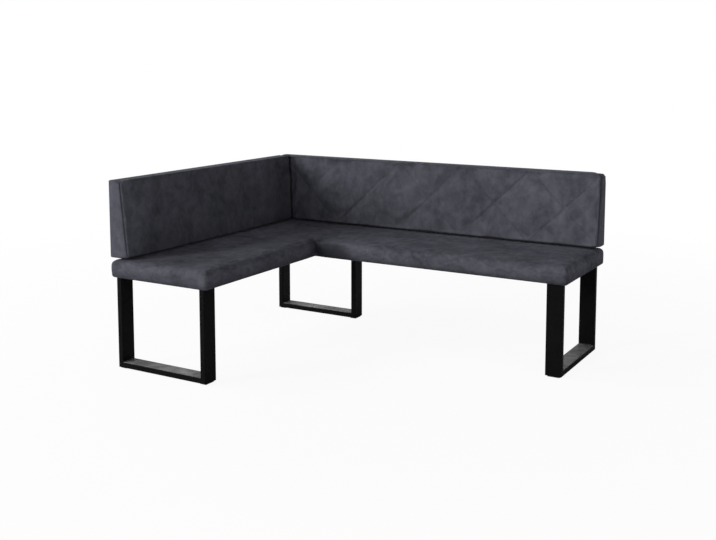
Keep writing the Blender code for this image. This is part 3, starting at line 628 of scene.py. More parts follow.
def skin(name, points, faces, materials, fold_and_painted_shade, kinds=None):
    """A smooth closed piece from points and faces, facing outwards, in one cloth or several.

    The fold is the painted shading at each point: towards 1 it is painted dark, as shade in a fold
    or a seam, 0 is the cloth as cut, and towards -1 it is painted pale, as light.
    """
    mesh = new_mesh(name, points, faces=faces)
    bm = bmesh.new()
    bm.from_mesh(mesh)
    bmesh.ops.recalc_face_normals(bm, faces=bm.faces)
    bm.to_mesh(mesh)
    bm.free()
    mesh.shade_smooth()
    lie = mesh.attributes.new("fold_and_painted_shade", "FLOAT", "POINT")
    lie.data.foreach_set("value", np.clip(fold_and_painted_shade, -1.0, 1.0))
    for material in materials:
        mesh.materials.append(material)
    if kinds:
        mesh.polygons.foreach_set("material_index", kinds)
    return placed(name, mesh)


SETTLE_FRAMES, EASE_ROUNDS = 14, 3


def settled(points, faces, held, pressure, slack, cap):
    """Let a sheet of cloth settle over its padding, and give its points back.

    The cloth is cut a little too large by the slack, pushed out by the pressure, and held at each
    point between 0, free, and 1, sewn. The moves are eased over neighbouring points, so that no
    stray fold is left, and none goes further than the cap.
    """
    sheet = placed("sheet", new_mesh("sheet", points, faces=faces))
    group = sheet.vertex_groups.new(name="held")
    levels = np.round(held, 2)
    for level in sorted(set(levels)):
        group.add([int(spot) for spot in np.nonzero(levels == level)[0]], float(level), "REPLACE")
    cloth = sheet.modifiers.new("settling", "CLOTH")
    how = cloth.settings
    how.quality, how.mass, how.shrink_min = 6, 0.3, -slack
    how.tension_stiffness, how.compression_stiffness = 15.0, 15.0
    how.shear_stiffness, how.bending_stiffness = 8.0, 0.3
    how.use_pressure, how.uniform_pressure_force = True, pressure
    how.effector_weights.gravity = 0.0
    how.vertex_group_mass, how.pin_stiffness = "held", 1.0
    cloth.collision_settings.use_collision = False
    cloth.point_cache.frame_start, cloth.point_cache.frame_end = 1, SETTLE_FRAMES
    for frame in range(1, SETTLE_FRAMES + 1):
        bpy.context.scene.frame_set(frame)
    graph = bpy.context.evaluated_depsgraph_get()
    spots = np.empty(len(points) * 3)
    sheet.evaluated_get(graph).data.vertices.foreach_get("co", spots)
    bpy.context.scene.frame_set(1)
    bpy.data.objects.remove(sheet)
    move = spots.reshape(-1, 3) - points
    sides = np.array([side for face in faces for side in zip(face, face[1:] + face[:1])])
    count = np.bincount(sides.ravel(), minlength=len(points))[:, None]
    for _ in range(EASE_ROUNDS):
        total = np.zeros_like(move)
        np.add.at(total, sides[:, 0], move[sides[:, 1]])
        np.add.at(total, sides[:, 1], move[sides[:, 0]])
        move = np.where(held[:, None] < 1, (move + total / np.maximum(count, 1)) / 2, 0.0)
    length = np.linalg.norm(move, axis=1)[:, None]
    return points + move * np.minimum(1.0, cap / np.maximum(length, 1e-9))


def settle_part(points, faces, part, held, pressure, slack, cap):
    """Let only a part of a closed piece settle, the rest of it stays as it is."""
    number = np.full(len(points), -1)
    number[part] = np.arange(part.sum())
    sheet = [[int(number[spot]) for spot in face] for face in faces if part[face].all()]
    moved = points.copy()
    moved[part] = settled(points[part], sheet, held[part], pressure, slack, cap)
    return moved


def soft_noise(points, pitch, seed):
    """Smooth noise about zero at each point, with humps about one pitch across."""
    return np.array([noise.noise(Vector(point) / pitch + Vector((seed, seed * 1.7, seed * 0.6)))
                     for point in points])


def smooth_step(value):
    """0 to 1 with a soft start and end."""
    value = np.clip(value, 0.0, 1.0)
    return value * value * (3 - 2 * value)


def bell(value, reach):
    """1 where the value is 0, fading smoothly to both sides: about a third at the reach."""
    return np.exp(-(value / reach) ** 2)


TOP_ROUND, FOOT_ROUND, PLAN_ROUND, REAR_PLAN_ROUND = 0.026, 0.012, 0.014, 0.006
SEAT_EDGE, SEAT_CROWN, CROWN_REACH = 0.466, 0.004, 0.110
HEM, HEM_STEP, HEM_LIFT = 0.0300, 0.0003, 0.0022
DRAW_IN, SIDE_BULGE, SEAT_PITCH = 0.0022, 0.0022, 0.009
INNER_REACH, INNER_CREASE, INNER_DIP, DIP_REACH = 0.034, 0.0110, 0.0060, 0.060
REAR_BULGE, BULGE_REACH = 0.0045, 0.06
WAVE, RIPPLE, SIDE_FOLD, SIDE_STRIP = 0.0013, 0.0004, 0.0008, 0.012

rounded = edge_offsets(TOP_ROUND, 7) + [HEM - HEM_STEP, HEM]
seat_xs = ([SEAT_LEFT + value for value in rounded]
           + between(SEAT_LEFT + HEM, INNER_X - HEM, SEAT_PITCH)
           + [INNER_X - value for value in reversed(rounded)]
           + between(INNER_X, RIGHT - HEM, SEAT_PITCH)
           + [RIGHT - value for value in reversed(rounded)])
seat_ys = ([FRONT + value for value in rounded]
           + between(FRONT + HEM, INNER_Y, SEAT_PITCH)
           + [INNER_Y + value for value in rounded]
           + between(INNER_Y + HEM, SEAT_REAR - HEM, SEAT_PITCH)
           + [SEAT_REAR - value for value in reversed(rounded)])
side_low, side_high = UNDERSIDE + FOOT_ROUND, SEAT_EDGE - TOP_ROUND
seat_zs = [side_low] + between(side_low, side_high, SEAT_PITCH * 0.8) + [side_high]
column_of_inner = seat_xs.index(INNER_X)
row_of_inner = seat_ys.index(INNER_Y)
points, faces = shell(seat_xs, seat_ys, seat_zs,
                      lambda u, v: u < column_of_inner or v >= row_of_inner)
x, y, z = points.T
long_inset = np.minimum.reduce([x - SEAT_LEFT, RIGHT - x, y - INNER_Y, SEAT_REAR - y])
short_inset = np.minimum.reduce([x - SEAT_LEFT, INNER_X - x, y - FRONT, SEAT_REAR - y])
near_inner = (x < INNER_X) & (y > INNER_Y) & (x > INNER_X - 0.2) & (y < INNER_Y + 0.2)
inset = np.maximum(long_inset, short_inset)
inset = np.where(near_inner, np.minimum(np.hypot(INNER_X - x, y - INNER_Y),
                                        np.minimum(x - SEAT_LEFT, SEAT_REAR - y)), inset)
is_top, is_foot = z == side_high, z == side_low
arc = np.sqrt(np.maximum(0.0, TOP_ROUND ** 2 - np.maximum(0.0, TOP_ROUND - inset) ** 2))
swell = np.clip((inset - TOP_ROUND) / CROWN_REACH, 0.0, 1.0)
crown = SEAT_CROWN * (1 - (1 - swell) ** 2)
foot_arc = np.sqrt(np.maximum(0.0, FOOT_ROUND ** 2 - np.maximum(0.0, FOOT_ROUND - inset) ** 2))
underneath = side_low - foot_arc + np.where(inset >= HEM - HEM_STEP / 2, HEM_LIFT, 0.0)
height = np.where(is_top, side_high + arc + crown, np.where(is_foot, underneath, z))

# each side: its outward direction, how far along it a point is, and how strongly it is drawn in
plan = np.stack([x, y], 1)
push = np.zeros_like(plan)
sides = (((0, -1), FRONT, (SEAT_LEFT, INNER_X), x < INNER_X),
         ((1, 0), INNER_X, (FRONT, INNER_Y), y < INNER_Y),
         ((0, -1), INNER_Y, (INNER_X, RIGHT), x > INNER_X),
         ((1, 0), RIGHT, (INNER_Y, SEAT_REAR), y > INNER_Y))
up_share = np.clip((height - UNDERSIDE) / (SEAT_EDGE - UNDERSIDE), 0.0, 1.0)
for (out_x, out_y), line, (start, end), there in sides:
    across, along = (x, y) if out_x else (y, x)
    share = np.clip((along - start) / (end - start), 0.0, 1.0)
    fade = smooth_step(1 - np.abs(across - line) / BULGE_REACH) * there
    bow = -DRAW_IN * 4 * share * (1 - share) * (0.4 + 0.6 * up_share)
    bulge = SIDE_BULGE * np.sin(pi * up_share) * np.minimum(1.0, 8 * share * (1 - share))
    push += np.outer(fade * (bow + bulge), (out_x, out_y))

# the plan corners, rounded: squares of the grid become quarter discs
for corner_x, corner_y, way_x, way_y, radius in (
        (SEAT_LEFT, FRONT, -1, -1, REAR_PLAN_ROUND), (INNER_X, FRONT, 1, -1, PLAN_ROUND),
        (RIGHT, INNER_Y, 1, -1, PLAN_ROUND), (RIGHT, SEAT_REAR, 1, 1, REAR_PLAN_ROUND),
        (SEAT_LEFT, SEAT_REAR, -1, 1, REAR_PLAN_ROUND)):
    core = np.array((corner_x - way_x * radius, corner_y - way_y * radius))
    out = (plan - core) * (way_x, way_y)
    there = (out > 0).all(1) & (out < radius + 1e-6).all(1)
    reach = out.max(1) / np.maximum(np.hypot(*out.T), 1e-9)
    plan = np.where(there[:, None], core + (plan - core) * reach[:, None], plan)
away = np.hypot(plan[:, 0] - INNER_X, plan[:, 1] - INNER_Y)
rear_bulge = (REAR_BULGE * np.sin(pi * up_share) * smooth_step(1 - (x - SEAT_LEFT) / BULGE_REACH)
              * smooth_step((-0.45 - y) / 0.12))
push += np.outer(rear_bulge, (-1.0, 0.0))
crease = INNER_CREASE * bell(away, INNER_REACH) * (0.4 + 0.6 * np.sin(pi * up_share))
push += np.outer(crease, (-0.45, 0.9))
plan += push
surface = np.column_stack([plan, height])

wave = soft_noise(surface * (0.45, 0.45, 1.0), 0.055, 3.1)
ripple = soft_noise(surface, 0.028, 8.4)
free = smooth_step((height - side_low) / 0.02)
surface[:, 2] += np.where(is_top, free * (WAVE * wave + RIPPLE * ripple), 0.0)
surface[:, 2] -= np.where(is_top, INNER_DIP * smooth_step(1 - away / DIP_REACH), 0.0)
# a real fold of the sides' cloth, made in the geometry
fold_and_painted_shade = soft_noise(surface * (1.0, 1.0, 0.25), 0.030, 5.7) * np.sin(pi * up_share)
side_push = np.where(inset < SIDE_STRIP, SIDE_FOLD, 0.0) * fold_and_painted_shade
outward = push / np.maximum(np.linalg.norm(push, axis=1), 1e-6)[:, None]
surface[:, :2] += outward * side_push[:, None]

free_part = ~(is_foot & (inset > FOOT_ROUND))
TOP_HOLD, SIDE_HOLD = 0.20, 0.22
held = np.where(is_foot, 1.0, np.where(is_top, TOP_HOLD, SIDE_HOLD))
surface = settle_part(surface, faces, free_part, held, pressure=1.0, slack=0.010, cap=0.004)

# The fold attribute holds painted shading in smooth zones, whose values were set against the
# photograph, so they hold some of its light: painted shade in the inner corner, a painted shadow
# in the lee on its right, and painted shade low on the sides.
NOTCH_DARK, NOTCH_REACH, NOOK_DARK, NOOK_REACH = 0.35, 0.008, 0.58, 0.060
CORNER_REACH, RIM_STRIP, SIDE_DARK, HEM_STRIP = 0.20, 0.03, 0.46, 0.05
LEE_DARK, LEE_START, LEE_SLANT, LEE_FADE, LEE_STRIP = 0.78, 0.09, 0.07, 0.10, 0.015
on_side = ~is_top & ~is_foot
in_corner = (away < CORNER_REACH) & (inset < SIDE_STRIP) & ~is_foot
painted_shading = NOTCH_DARK * bell(away, NOTCH_REACH) + NOOK_DARK * bell(away, NOOK_REACH)
painted_shading = np.where(in_corner | (is_top & (inset < RIM_STRIP)), painted_shading, 0.0)
lee = LEE_START + LEE_SLANT * (1 - up_share)
in_lee = LEE_DARK * (1 - smooth_step((x - INNER_X - lee) / LEE_FADE))
in_lee *= (x > INNER_X) & (y < INNER_Y + RIM_STRIP)
in_lee *= np.where(on_side, 1.0, smooth_step(1 - inset / LEE_STRIP))
painted_shading = np.maximum(painted_shading, in_lee)
# painted highlight along the upper rims, most on the long side; painted shade low on the sides
RIM_PALE, LONG_RIM_PALE, RIM_START, RIM_FADE, RIM_WIDTH = 0.22, 0.14, 0.15, 0.20, 0.035
on_long = smooth_step((x - INNER_X - RIM_START) / RIM_FADE) * (y < INNER_Y + HEM_STRIP)
rim = RIM_PALE + LONG_RIM_PALE * on_long
side_shading = np.where(on_side, SIDE_DARK - (SIDE_DARK + rim) * up_share,
                SIDE_DARK * smooth_step(1 - inset / HEM_STRIP))
side_shading = np.where(is_top, -rim * smooth_step(1 - inset / RIM_WIDTH), side_shading)
painted_shading += side_shading * (1 - painted_shading)
# on the top: painted light beside the short back, a painted shadow near the corner,
# and a line of painted shade under the backs
LIT_PATCH_PALE, LIT_PATCH_AT, LIT_PATCH_REACH = 0.95, 0.22, 0.13
LIT_PATCH_MIDDLE, LIT_PATCH_HALF, LIT_PATCH_FADE = 0.55, 0.18, 0.20
SHADOW_PATCH_DARK, SHADOW_PATCH_AT, SHADOW_PATCH_REACH, SHADOW_PATCH_MIDDLE, SHADOW_PATCH_FADE = 0.62, 0.53, 0.21, 0.12, 0.15
BACK_LINE, BACK_LINE_WIDTH = 0.096, 0.004
from_left, from_rear = x - LEFT, REAR - y
under_back = bell(np.minimum(from_left, from_rear) - BACK_LINE, BACK_LINE_WIDTH)
under_back *= inset > TOP_ROUND
painted_light_patch = LIT_PATCH_PALE * bell(from_left - LIT_PATCH_AT, LIT_PATCH_REACH)
painted_light_patch *= bell(np.maximum(np.abs(from_rear - LIT_PATCH_MIDDLE) - LIT_PATCH_HALF, 0), LIT_PATCH_FADE)
painted_shadow_patch = SHADOW_PATCH_DARK * bell(from_left - SHADOW_PATCH_AT, SHADOW_PATCH_REACH) * bell(from_rear - SHADOW_PATCH_MIDDLE, SHADOW_PATCH_FADE)
painted_shading = np.where(is_top, np.maximum(painted_shading, painted_shadow_patch) - painted_light_patch, painted_shading)
painted_shading = np.where(is_top, painted_shading * (1 - under_back) + under_back, painted_shading)
seat_cloth = microfibre("seat_microfibre", (1.0, 1.0, 1.6), shift=(0.83, 0.46, 0.0))
seat = skin("seat_cushion", surface, faces, [seat_cloth], painted_shading)
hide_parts("seat_cover", "seat_foam_long", "seat_foam_short")
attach(seat, "root")


# Backs
# Foam wedges on a board, in sewn covers: upright behind, leaning in front. A seam runs down each
# end just behind the front edge. The short one is plain, the long one is quilted in diamonds.
BACK_HEIGHT, TOP_DEPTH, FOOT_DEPTH = 0.320, 0.060, 0.095
FACE_PROUD = 0.010
BLOCK_DEPTH = FOOT_DEPTH + FACE_PROUD
FRONT_ROUND, END_ROUND, CORNER_ROUND, BRIM_ROUND, REAR_ROUND = 0.0145, 0.040, 0.016, 0.018, 0.006
BACK_CROWN, BACK_CROWN_REACH = 0.0035, 0.130
END_SEAM, SEAM_DEPTH, SEAM_HALF = 0.0130, 0.0050, 0.0030
CORNER_JOINT = 0.0055


def depth_at(height):
    """How deep a back is at a height above its foot."""
    return FOOT_DEPTH + (TOP_DEPTH - FOOT_DEPTH) * height / BACK_HEIGHT


def wedge(points, length, rounds, start_slant, relief):
    """Grid points of a plain block, carried to the soft wedge: along, depth and height.

    The rounds are the radii of its two ends.
    """
    along, height, depth = points.T
    size = np.array((length, BACK_HEIGHT, BLOCK_DEPTH))
    softness = smooth_step((depth - BLOCK_DEPTH + 4 * FRONT_ROUND) / (3 * FRONT_ROUND))[:, None]
    radii = np.column_stack([np.where(along < length / 2, *rounds), np.full_like(along, BRIM_ROUND),
                             np.full_like(along, FRONT_ROUND)])
    radii = REAR_ROUND + softness * (radii - REAR_ROUND)
    core = np.clip(points, radii, size - radii)
    out = (points - core) / radii
    reach = np.linalg.norm(out, axis=1)[:, None]
    shaped = np.where(reach > 0, core + out * radii / np.maximum(reach, 1e-9), points)
    a, h, d = shaped.T
    edge = np.minimum.reduce([along, length - along, height, BACK_HEIGHT - height])
    face = depth == BLOCK_DEPTH
    sag = BACK_CROWN * np.maximum(0.0, 1 - edge / BACK_CROWN_REACH) ** 2
    d = d - np.where(face, sag + relief(along, height), 0.0)
    front = BLOCK_DEPTH - FRONT_ROUND
    here = depth_at(h) + FACE_PROUD
    d = np.where(d > front, here - (BLOCK_DEPTH - d), d * (here - FRONT_ROUND) / front)
    groove = SEAM_DEPTH * bell(BLOCK_DEPTH - depth - END_SEAM, SEAM_HALF)
    a = a + np.where(along == 0.0, groove, 0.0) - np.where(along == length, groove, 0.0)
    a = a + start_slant(h) * (1 - a / length)
    return np.column_stack([a, d, BACK_FOOT + h])


def to_long(points):
    """From the long back's own frame to the bench's."""
    return np.column_stack([RIGHT - points[:, 0], REAR - points[:, 1], points[:, 2]])


def to_short(points):
    """From the short back's own frame to the bench's."""
    return np.column_stack([LEFT + points[:, 1], REAR - points[:, 0], points[:, 2]])


SEAM_LINE = BLOCK_DEPTH - END_SEAM
depth_lines = (edge_offsets(REAR_ROUND, 3) + between(REAR_ROUND, SEAM_LINE - 0.006, 0.011)
               + [SEAM_LINE + shift for shift in (-0.006, -0.003, -0.0015, 0.0, 0.0012)]
               + [BLOCK_DEPTH - value for value in reversed(edge_offsets(FRONT_ROUND, 6)[:-2])])


def side_lines(length, radius, middle, least=1e-5):
    """The grid lines of a side: close in its rounded edges, the given ones between these.

    Lines that crowd the one before them are left out.
    """
    offsets = edge_offsets(radius, 6)
    lines = offsets + [length - value for value in reversed(offsets)]
    lines += [value for value in middle if radius < value < length - radius]
    kept = []
    for value in sorted(lines):
        if not kept or value - kept[-1] > least:
            kept.append(value)
    kept[-1] = length
    return kept


def plain_relief(along, height):
    """The plain face's own unevenness: slack and pull of the cloth over the foam."""
    spots = np.column_stack([along, height * 0.6, np.zeros_like(along)])
    return 0.0008 * soft_noise(spots, 0.07, 2.2) + 0.00015 * soft_noise(spots, 0.026, 6.1)


def boxing(grid, faces):
    """0 for faces of the front cover, 1 for those of the cut behind its seam."""
    return [int(grid[face, 2].max() <= SEAM_LINE) for face in faces]


FOOT_DARK, SEAM_DARK, JOINT_DARK = 0.9, 0.9, 0.85


def back_painted_shade(grid, length, corner_end, seams):
    """Painted shade on a back: dark at its foot, its seams and the joint of the backs."""
    along, height, depth = grid.T
    front = smooth_step((depth - SEAM_LINE + 0.004) / 0.004)
    foot = FOOT_DARK * (1 - smooth_step((height - 0.003) / 0.008))
    ends = np.minimum(along, length - along) == 0.0
    seam = np.where(ends, SEAM_DARK * bell(depth - SEAM_LINE, 0.0022), 0.0)
    joint = JOINT_DARK * (1 - smooth_step((np.abs(along - corner_end) - 0.001) / 0.007))
    return np.maximum.reduce([front * foot, seam, front * joint, seams])


FACE_HOLD, ROUND_HOLD = 0.10, 0.85


def settle_back(shaped, grid, faces, sewn):
    """Let the front cover of a back settle between its seams."""
    cover = grid[:, 2] >= SEAM_LINE
    held = np.where(grid[:, 2] == BLOCK_DEPTH, np.maximum(sewn, FACE_HOLD), ROUND_HOLD)
    held = np.where(grid[:, 2] <= SEAM_LINE + 1e-6, 1.0, held)
    return settle_part(shaped, faces, cover, held, pressure=1.5, slack=0.02, cap=0.006)


def short_slant(height):
    """Where the short back starts: in front of the long one, at each height."""
    return depth_at(height) + CORNER_JOINT


boxing_cloth = microfibre("boxing_microfibre", (1.0, 1.0, 0.9), 1.0, 0.85)
SHORT_LENGTH, BACK_PITCH = 1.285, 0.009
short_us = side_lines(SHORT_LENGTH, END_ROUND,
                      between(END_ROUND, SHORT_LENGTH - END_ROUND, BACK_PITCH))
short_vs = side_lines(BACK_HEIGHT, BRIM_ROUND,
                      between(BRIM_ROUND, BACK_HEIGHT - BRIM_ROUND, BACK_PITCH))
points, faces = shell(short_us, short_vs, depth_lines, lambda u, v: True)
plain = wedge(points, SHORT_LENGTH, (CORNER_ROUND, END_ROUND), short_slant, plain_relief)
plain = settle_back(plain, points, faces, np.zeros(len(points)))
# the short back's front is a darker copy of the one cloth: painted shade
short_cloth = microfibre("short_front_microfibre", (1.0, 1.0, 0.9), 0.81, 0.85)
painted_shading = back_painted_shade(points, SHORT_LENGTH, 0.0, np.zeros(len(points)))
# painted shade low beside the corner and along the foot, painted light at the end, as in the
# photograph's light
NEAR_DARK, NEAR_ALONG, NEAR_UP = 0.35, 0.40, 0.28
LOW_DARK, LOW_UP, FAR_PALE, FAR_START, FAR_FADE = 0.20, 0.07, 0.28, 1.05, 0.20
along, up, depth = points.T
painted_gradient = (NEAR_DARK * smooth_step(1 - along / NEAR_ALONG) * smooth_step(1 - up / NEAR_UP)
           + LOW_DARK * smooth_step(1 - up / LOW_UP)
           - FAR_PALE * smooth_step((along - FAR_START) / FAR_FADE))
painted_shading += painted_gradient * (1 - painted_shading) * (depth > SEAM_LINE)
short_back = skin("short_back_cushion", to_short(plain), faces, [short_cloth, boxing_cloth],
                  painted_shading, boxing(points, faces))
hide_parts("short_back_cover", "short_back_foam")
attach(short_back, "root")


# Quilting of the long back
# Cover and wadding are sewn through in crossing lines, so the cloth sinks into the seams,
# swells between them and puckers where two seams cross.
LONG_LENGTH = 1.680
QUILT_WIDTH, QUILT_STEPS, QUILT_CENTRE = 0.330, 44, LONG_LENGTH - 0.860
QUILT_DEPTH, PILLOW, PINCH, PINCH_REACH = 0.0115, 0.55, 0.0020, 0.013
PUCKER, PUCKER_REACH, CROSS_FOLD, CROSS_REACH = 0.0006, 0.016, 0.0013, 0.034
RISE = BACK_HEIGHT / QUILT_WIDTH


def seam_values(along, height):
    """Signed distances along the length to the rising and the falling seam, from their origin."""
    level = (height - BACK_HEIGHT / 2) / RISE
    offset = along - QUILT_CENTRE
    return offset - level, offset + level


def from_seam(value):
    """How far a value of a seam family is from its nearest seam, with its sign."""
    return value - QUILT_WIDTH * np.round(value / QUILT_WIDTH)


def quilt_relief(along, height):
    """How far the quilted face lies behind its highest level."""
    gaps, pillow, puckers = [], 1.0, 0.0
    for family, value in enumerate(seam_values(along, height)):
        near = from_seam(value)
        gap = np.abs(near) * RISE / hypot(1.0, RISE)
        gaps.append(near)
        pillow = pillow * np.abs(np.sin(pi * value / QUILT_WIDTH)) ** PILLOW
        run = (along + height) if family else (along - height)
        spots = np.column_stack([run * 60, near * 9, np.full_like(run, family * 5.0)])
        puckers = puckers + PUCKER * np.exp(-gap / PUCKER_REACH) * soft_noise(spots, 1.0, 4.4)
    cross_x, cross_h = (gaps[0] + gaps[1]) / 2, (gaps[1] - gaps[0]) / 2 * RISE
    away = np.hypot(cross_x, cross_h)
    pinch = PINCH * bell(away, PINCH_REACH)
    angle = np.arctan2(cross_h, cross_x)
    folds = CROSS_FOLD * np.exp(-away / CROSS_REACH) * np.sin(7 * angle + 3 * np.sin(along * 9))
    folds = folds * smooth_step(away / 0.012)
    edge = np.minimum.reduce([along, LONG_LENGTH - along, height, BACK_HEIGHT - height])
    sewn = smooth_step((edge - 0.002) / 0.02)
    pressed = (FACE_PROUD + 0.001) * smooth_step((along - LONG_LENGTH + 0.135) / 0.040)
    quilting = sewn * (QUILT_DEPTH * (1 - pillow) + pinch + puckers + folds)
    return np.maximum(quilting, pressed) + plain_relief(along, height)


step = QUILT_WIDTH / QUILT_STEPS
CROWDED = 5e-4
long_us = side_lines(LONG_LENGTH, END_ROUND,
                     np.arange(QUILT_CENTRE % step, LONG_LENGTH, step), CROWDED)
long_vs = side_lines(BACK_HEIGHT, BRIM_ROUND,
                     [BACK_HEIGHT * number / QUILT_STEPS for number in range(QUILT_STEPS + 1)],
                     CROWDED)


def along_seam(u, v):
    """Cut each face of the quilted side along the seam family that is nearest to it."""
    middle = (np.array([(long_us[u] + long_us[u + 1]) / 2]),
              np.array([(long_vs[v] + long_vs[v + 1]) / 2]))
    rising, falling = (abs(from_seam(value))[0] for value in seam_values(*middle))
    return 0 if rising <= falling else 1


def no_slant(height):
    """The long back starts square at its free end."""
    return 0.0 * height


LONG_ROUNDS = (END_ROUND, CORNER_ROUND)
points, faces = shell(long_us, long_vs, depth_lines, lambda u, v: True, along_seam)
quilted = wedge(points, LONG_LENGTH, LONG_ROUNDS, no_slant, quilt_relief)
# the cover's upper rear corner at the free end is slack and slopes
SLACK_ALONG, SLACK_DOWN, SLACK_DEEP, SLACK_DROP = 0.060, 0.055, 0.040, 0.012
slack = (smooth_step(1 - quilted[:, 0] / SLACK_ALONG)
         * smooth_step(1 - quilted[:, 1] / SLACK_DEEP)
         * smooth_step(1 - (BACK_FOOT + BACK_HEIGHT - quilted[:, 2]) / SLACK_DOWN))
quilted[:, 2] -= SLACK_DROP * slack
quilted[:, 1] += SLACK_DROP * 0.5 * slack
along, up, depth = points.T
seam_gap = np.minimum(*(np.abs(from_seam(value)) for value in seam_values(along, up)))
quilted = settle_back(quilted, points, faces, np.where(seam_gap < CROWDED, 1.0, 0.0))
# painted shade in the quilting and where the short back meets it, painted light at the free end, as
# in the picture
QUILT_DARK, QUILT_FADE, MEETING_DARK, MEETING_FADE = 0.12, 0.002, 0.85, 0.006
OPEN_PALE, OPEN_START, OPEN_FADE = 0.13, 0.68, 0.30
in_seam = np.where(depth == BLOCK_DEPTH, QUILT_DARK * np.exp(-seam_gap / QUILT_FADE), 0.0)
painted_shading = back_painted_shade(points, LONG_LENGTH, LONG_LENGTH, in_seam)
room_side = LONG_LENGTH - depth_at(up) - FACE_PROUD
by_joint = MEETING_DARK * smooth_step((along - room_side + 0.001) / MEETING_FADE)
painted_gradient = -OPEN_PALE * smooth_step((OPEN_START - along) / OPEN_FADE) * (1 - painted_shading)
painted_shading = np.where(depth > SEAM_LINE, np.maximum(painted_shading, by_joint) + painted_gradient, painted_shading)
# the long back's front is a darker copy of the one cloth: painted shade
long_cloth = microfibre("long_front_microfibre", (1.0, 1.0, 0.8), 0.93, 0.75)
long_back = skin("long_back_cushion", to_long(quilted), faces, [long_cloth, boxing_cloth],
                 painted_shading, boxing(points, faces))
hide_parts("long_back_cover", "long_back_foam")
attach(long_back, "root")


# Stitches
# Thread a shade lighter than the cloth: lock stitches along the quilting and down the end seams.
def thread():
    """Twisted polyester thread."""
    material, tree, shader = new_material("charcoal_thread")
    twist = noise_field(tree, mapped(tree), 1500.0, 2.0)
    feed(tree, shader, {
        "Base Color": blended(tree, twist, (0.045, 0.047, 0.055, 1.0), (0.085, 0.087, 0.105, 1.0)),
        "Roughness": 0.6, "Specular IOR Level": 0.3})
    bumped(tree, shader, twist, 0.3, 0.0002)
    return material


THREAD_LIFT, SEAM_MARGIN, RUN_STEP, END_STEP = 0.0003, 0.014, 0.003, 0.004
THREAD_WIDTH, STITCH_LENGTH, STITCH_PITCH = 0.0007, 0.0034, 0.0045


def quilt_runs():
    """The quilting seams as runs of points on the face."""
    runs = []
    heights = np.arange(SEAM_MARGIN, BACK_HEIGHT - SEAM_MARGIN, RUN_STEP)
    for way in (1, -1):
        for number in range(-4, 5):
            along = QUILT_CENTRE + number * QUILT_WIDTH + way * (heights - BACK_HEIGHT / 2) / RISE
            keep = (along > SEAM_MARGIN) & (along < LONG_LENGTH - SEAM_MARGIN)
            if keep.sum() < 4:
                continue
            grid = np.column_stack([along[keep], heights[keep], np.full(keep.sum(), BLOCK_DEPTH)])
            run = wedge(grid, LONG_LENGTH, LONG_ROUNDS, no_slant, quilt_relief)
            run[:, 1] += THREAD_LIFT
            runs.append(to_long(run))
    return runs


def end_runs(length, slant, carry):
    """The two end seams of a back as runs of points."""
    runs = []
    for along, way in ((0.0, -1), (length, 1)):
        heights = np.arange(SEAM_MARGIN, BACK_HEIGHT - SEAM_MARGIN, END_STEP)
        grid = np.column_stack([np.full_like(heights, along), heights,
                                np.full_like(heights, SEAM_LINE)])
        run = wedge(grid, length, (CORNER_ROUND, END_ROUND), slant, plain_relief)
        run[:, 0] += way * THREAD_LIFT
        runs.append(carry(run))
    return runs


thread_tree = strung_tree("stitches", THREAD_WIDTH, STITCH_LENGTH, STITCH_PITCH, 6, 4, thread())
for name, runs in (("long_back_stitches", quilt_runs() + end_runs(LONG_LENGTH, no_slant, to_long)),
                   ("short_back_stitches", end_runs(SHORT_LENGTH, short_slant, to_short)[1:])):
    stitches = grown(name, chained(name, runs), thread_tree)
    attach(stitches, "root")


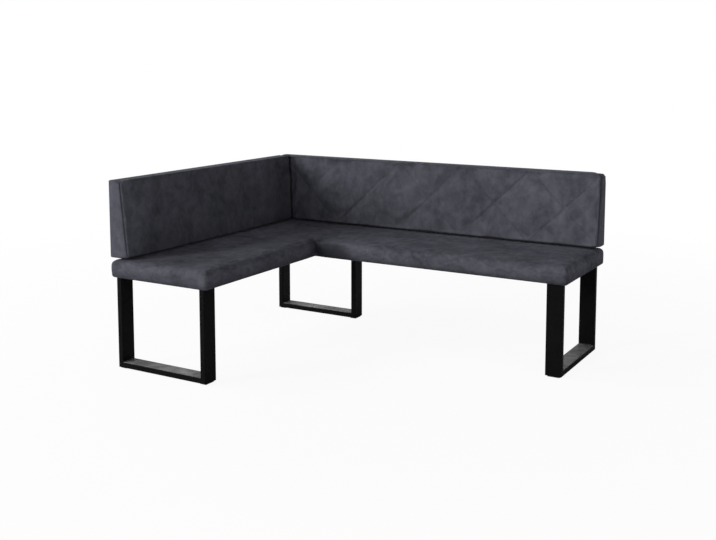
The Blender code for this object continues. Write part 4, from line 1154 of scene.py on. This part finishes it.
# Studio
# A pale floor that fades into a white room. One soft lamp stands rather low on the front left and
# throws the short back's shadow, a broader one high on the left, and a weak one on the right.
def studio_floor():
    """Pale floor: nearly white to the camera, plain and matt to the light."""
    material, tree, shader = new_material("studio_floor")
    tree.nodes.remove(shader)
    path = add(tree, "ShaderNodeLightPath")
    matt = add(tree, "ShaderNodeBsdfDiffuse", {"Color": (0.80, 0.80, 0.80, 1.0)})
    glow = add(tree, "ShaderNodeEmission", {"Color": (1.0, 1.0, 1.0, 1.0), "Strength": 1.0})
    away = add(tree, "ShaderNodeVectorMath", {0: mapped(tree)}, operation="LENGTH").outputs[1]
    share = calculated(tree, "MULTIPLY", path.outputs["Is Camera Ray"],
                       ranged(tree, away, 1.0, 4.0, 0.93, 1.0))
    both = add(tree, "ShaderNodeMixShader", {0: share, 1: matt.outputs[0], 2: glow.outputs[0]})
    tree.links.new(both.outputs[0], tree.nodes["Material Output"].inputs["Surface"])
    return material


FLOOR_SIZE = 40.0
half = FLOOR_SIZE / 2
floor_mesh = new_mesh("floor", [(-half, -half, 0), (half, -half, 0), (half, half, 0),
                                (-half, half, 0)], faces=[(0, 1, 2, 3)])
floor_mesh.materials.append(studio_floor())
floor = placed("floor", floor_mesh)


def lamp(name, place, aim, size, power):
    """A square soft white lamp that faces a point."""
    light = bpy.data.lights.new(name, "AREA")
    light.energy, light.size = power, size
    item = placed(name, light)
    item.location = place
    item.rotation_euler = (Vector(aim) - Vector(place)).to_track_quat("-Z", "Y").to_euler()


AIM = (0.0, 0.2, 0.5)
lamp("key_lamp", (-5.292, -7.795, 3.340), AIM, size=2.5, power=592.0)
lamp("top_lamp", (-7.198, -2.420, 6.928), AIM, size=3.4, power=400.0)
lamp("fill_lamp", (6.916, -6.716, 2.579), AIM, size=4.0, power=84.0)

world = bpy.data.worlds.new("studio")
bpy.context.scene.world = world
world.use_nodes = True
tree = world.node_tree
backdrop = tree.nodes["Background"]
path = add(tree, "ShaderNodeLightPath")
seen = calculated(tree, "MAXIMUM", path.outputs["Is Camera Ray"],
                  calculated(tree, "MAXIMUM", path.outputs["Is Glossy Ray"],
                             path.outputs["Is Transmission Ray"]))
HORIZON, ZENITH = 1.22, 0.02
backdrop.inputs["Color"].default_value = (1.0, 1.0, 1.0, 1.0)
way = add(tree, "ShaderNodeTexCoord").outputs["Generated"]
climb = add(tree, "ShaderNodeSeparateXYZ", {0: way}).outputs["Z"]
around = ranged(tree, climb, 0.15, 0.65, HORIZON, ZENITH)
strength = add(tree, "ShaderNodeMix", {0: seen, 2: around, 3: 1.0}, data_type="FLOAT")
tree.links.new(strength.outputs[0], backdrop.inputs["Strength"])
bpy.context.scene.view_settings.view_transform = "Standard"
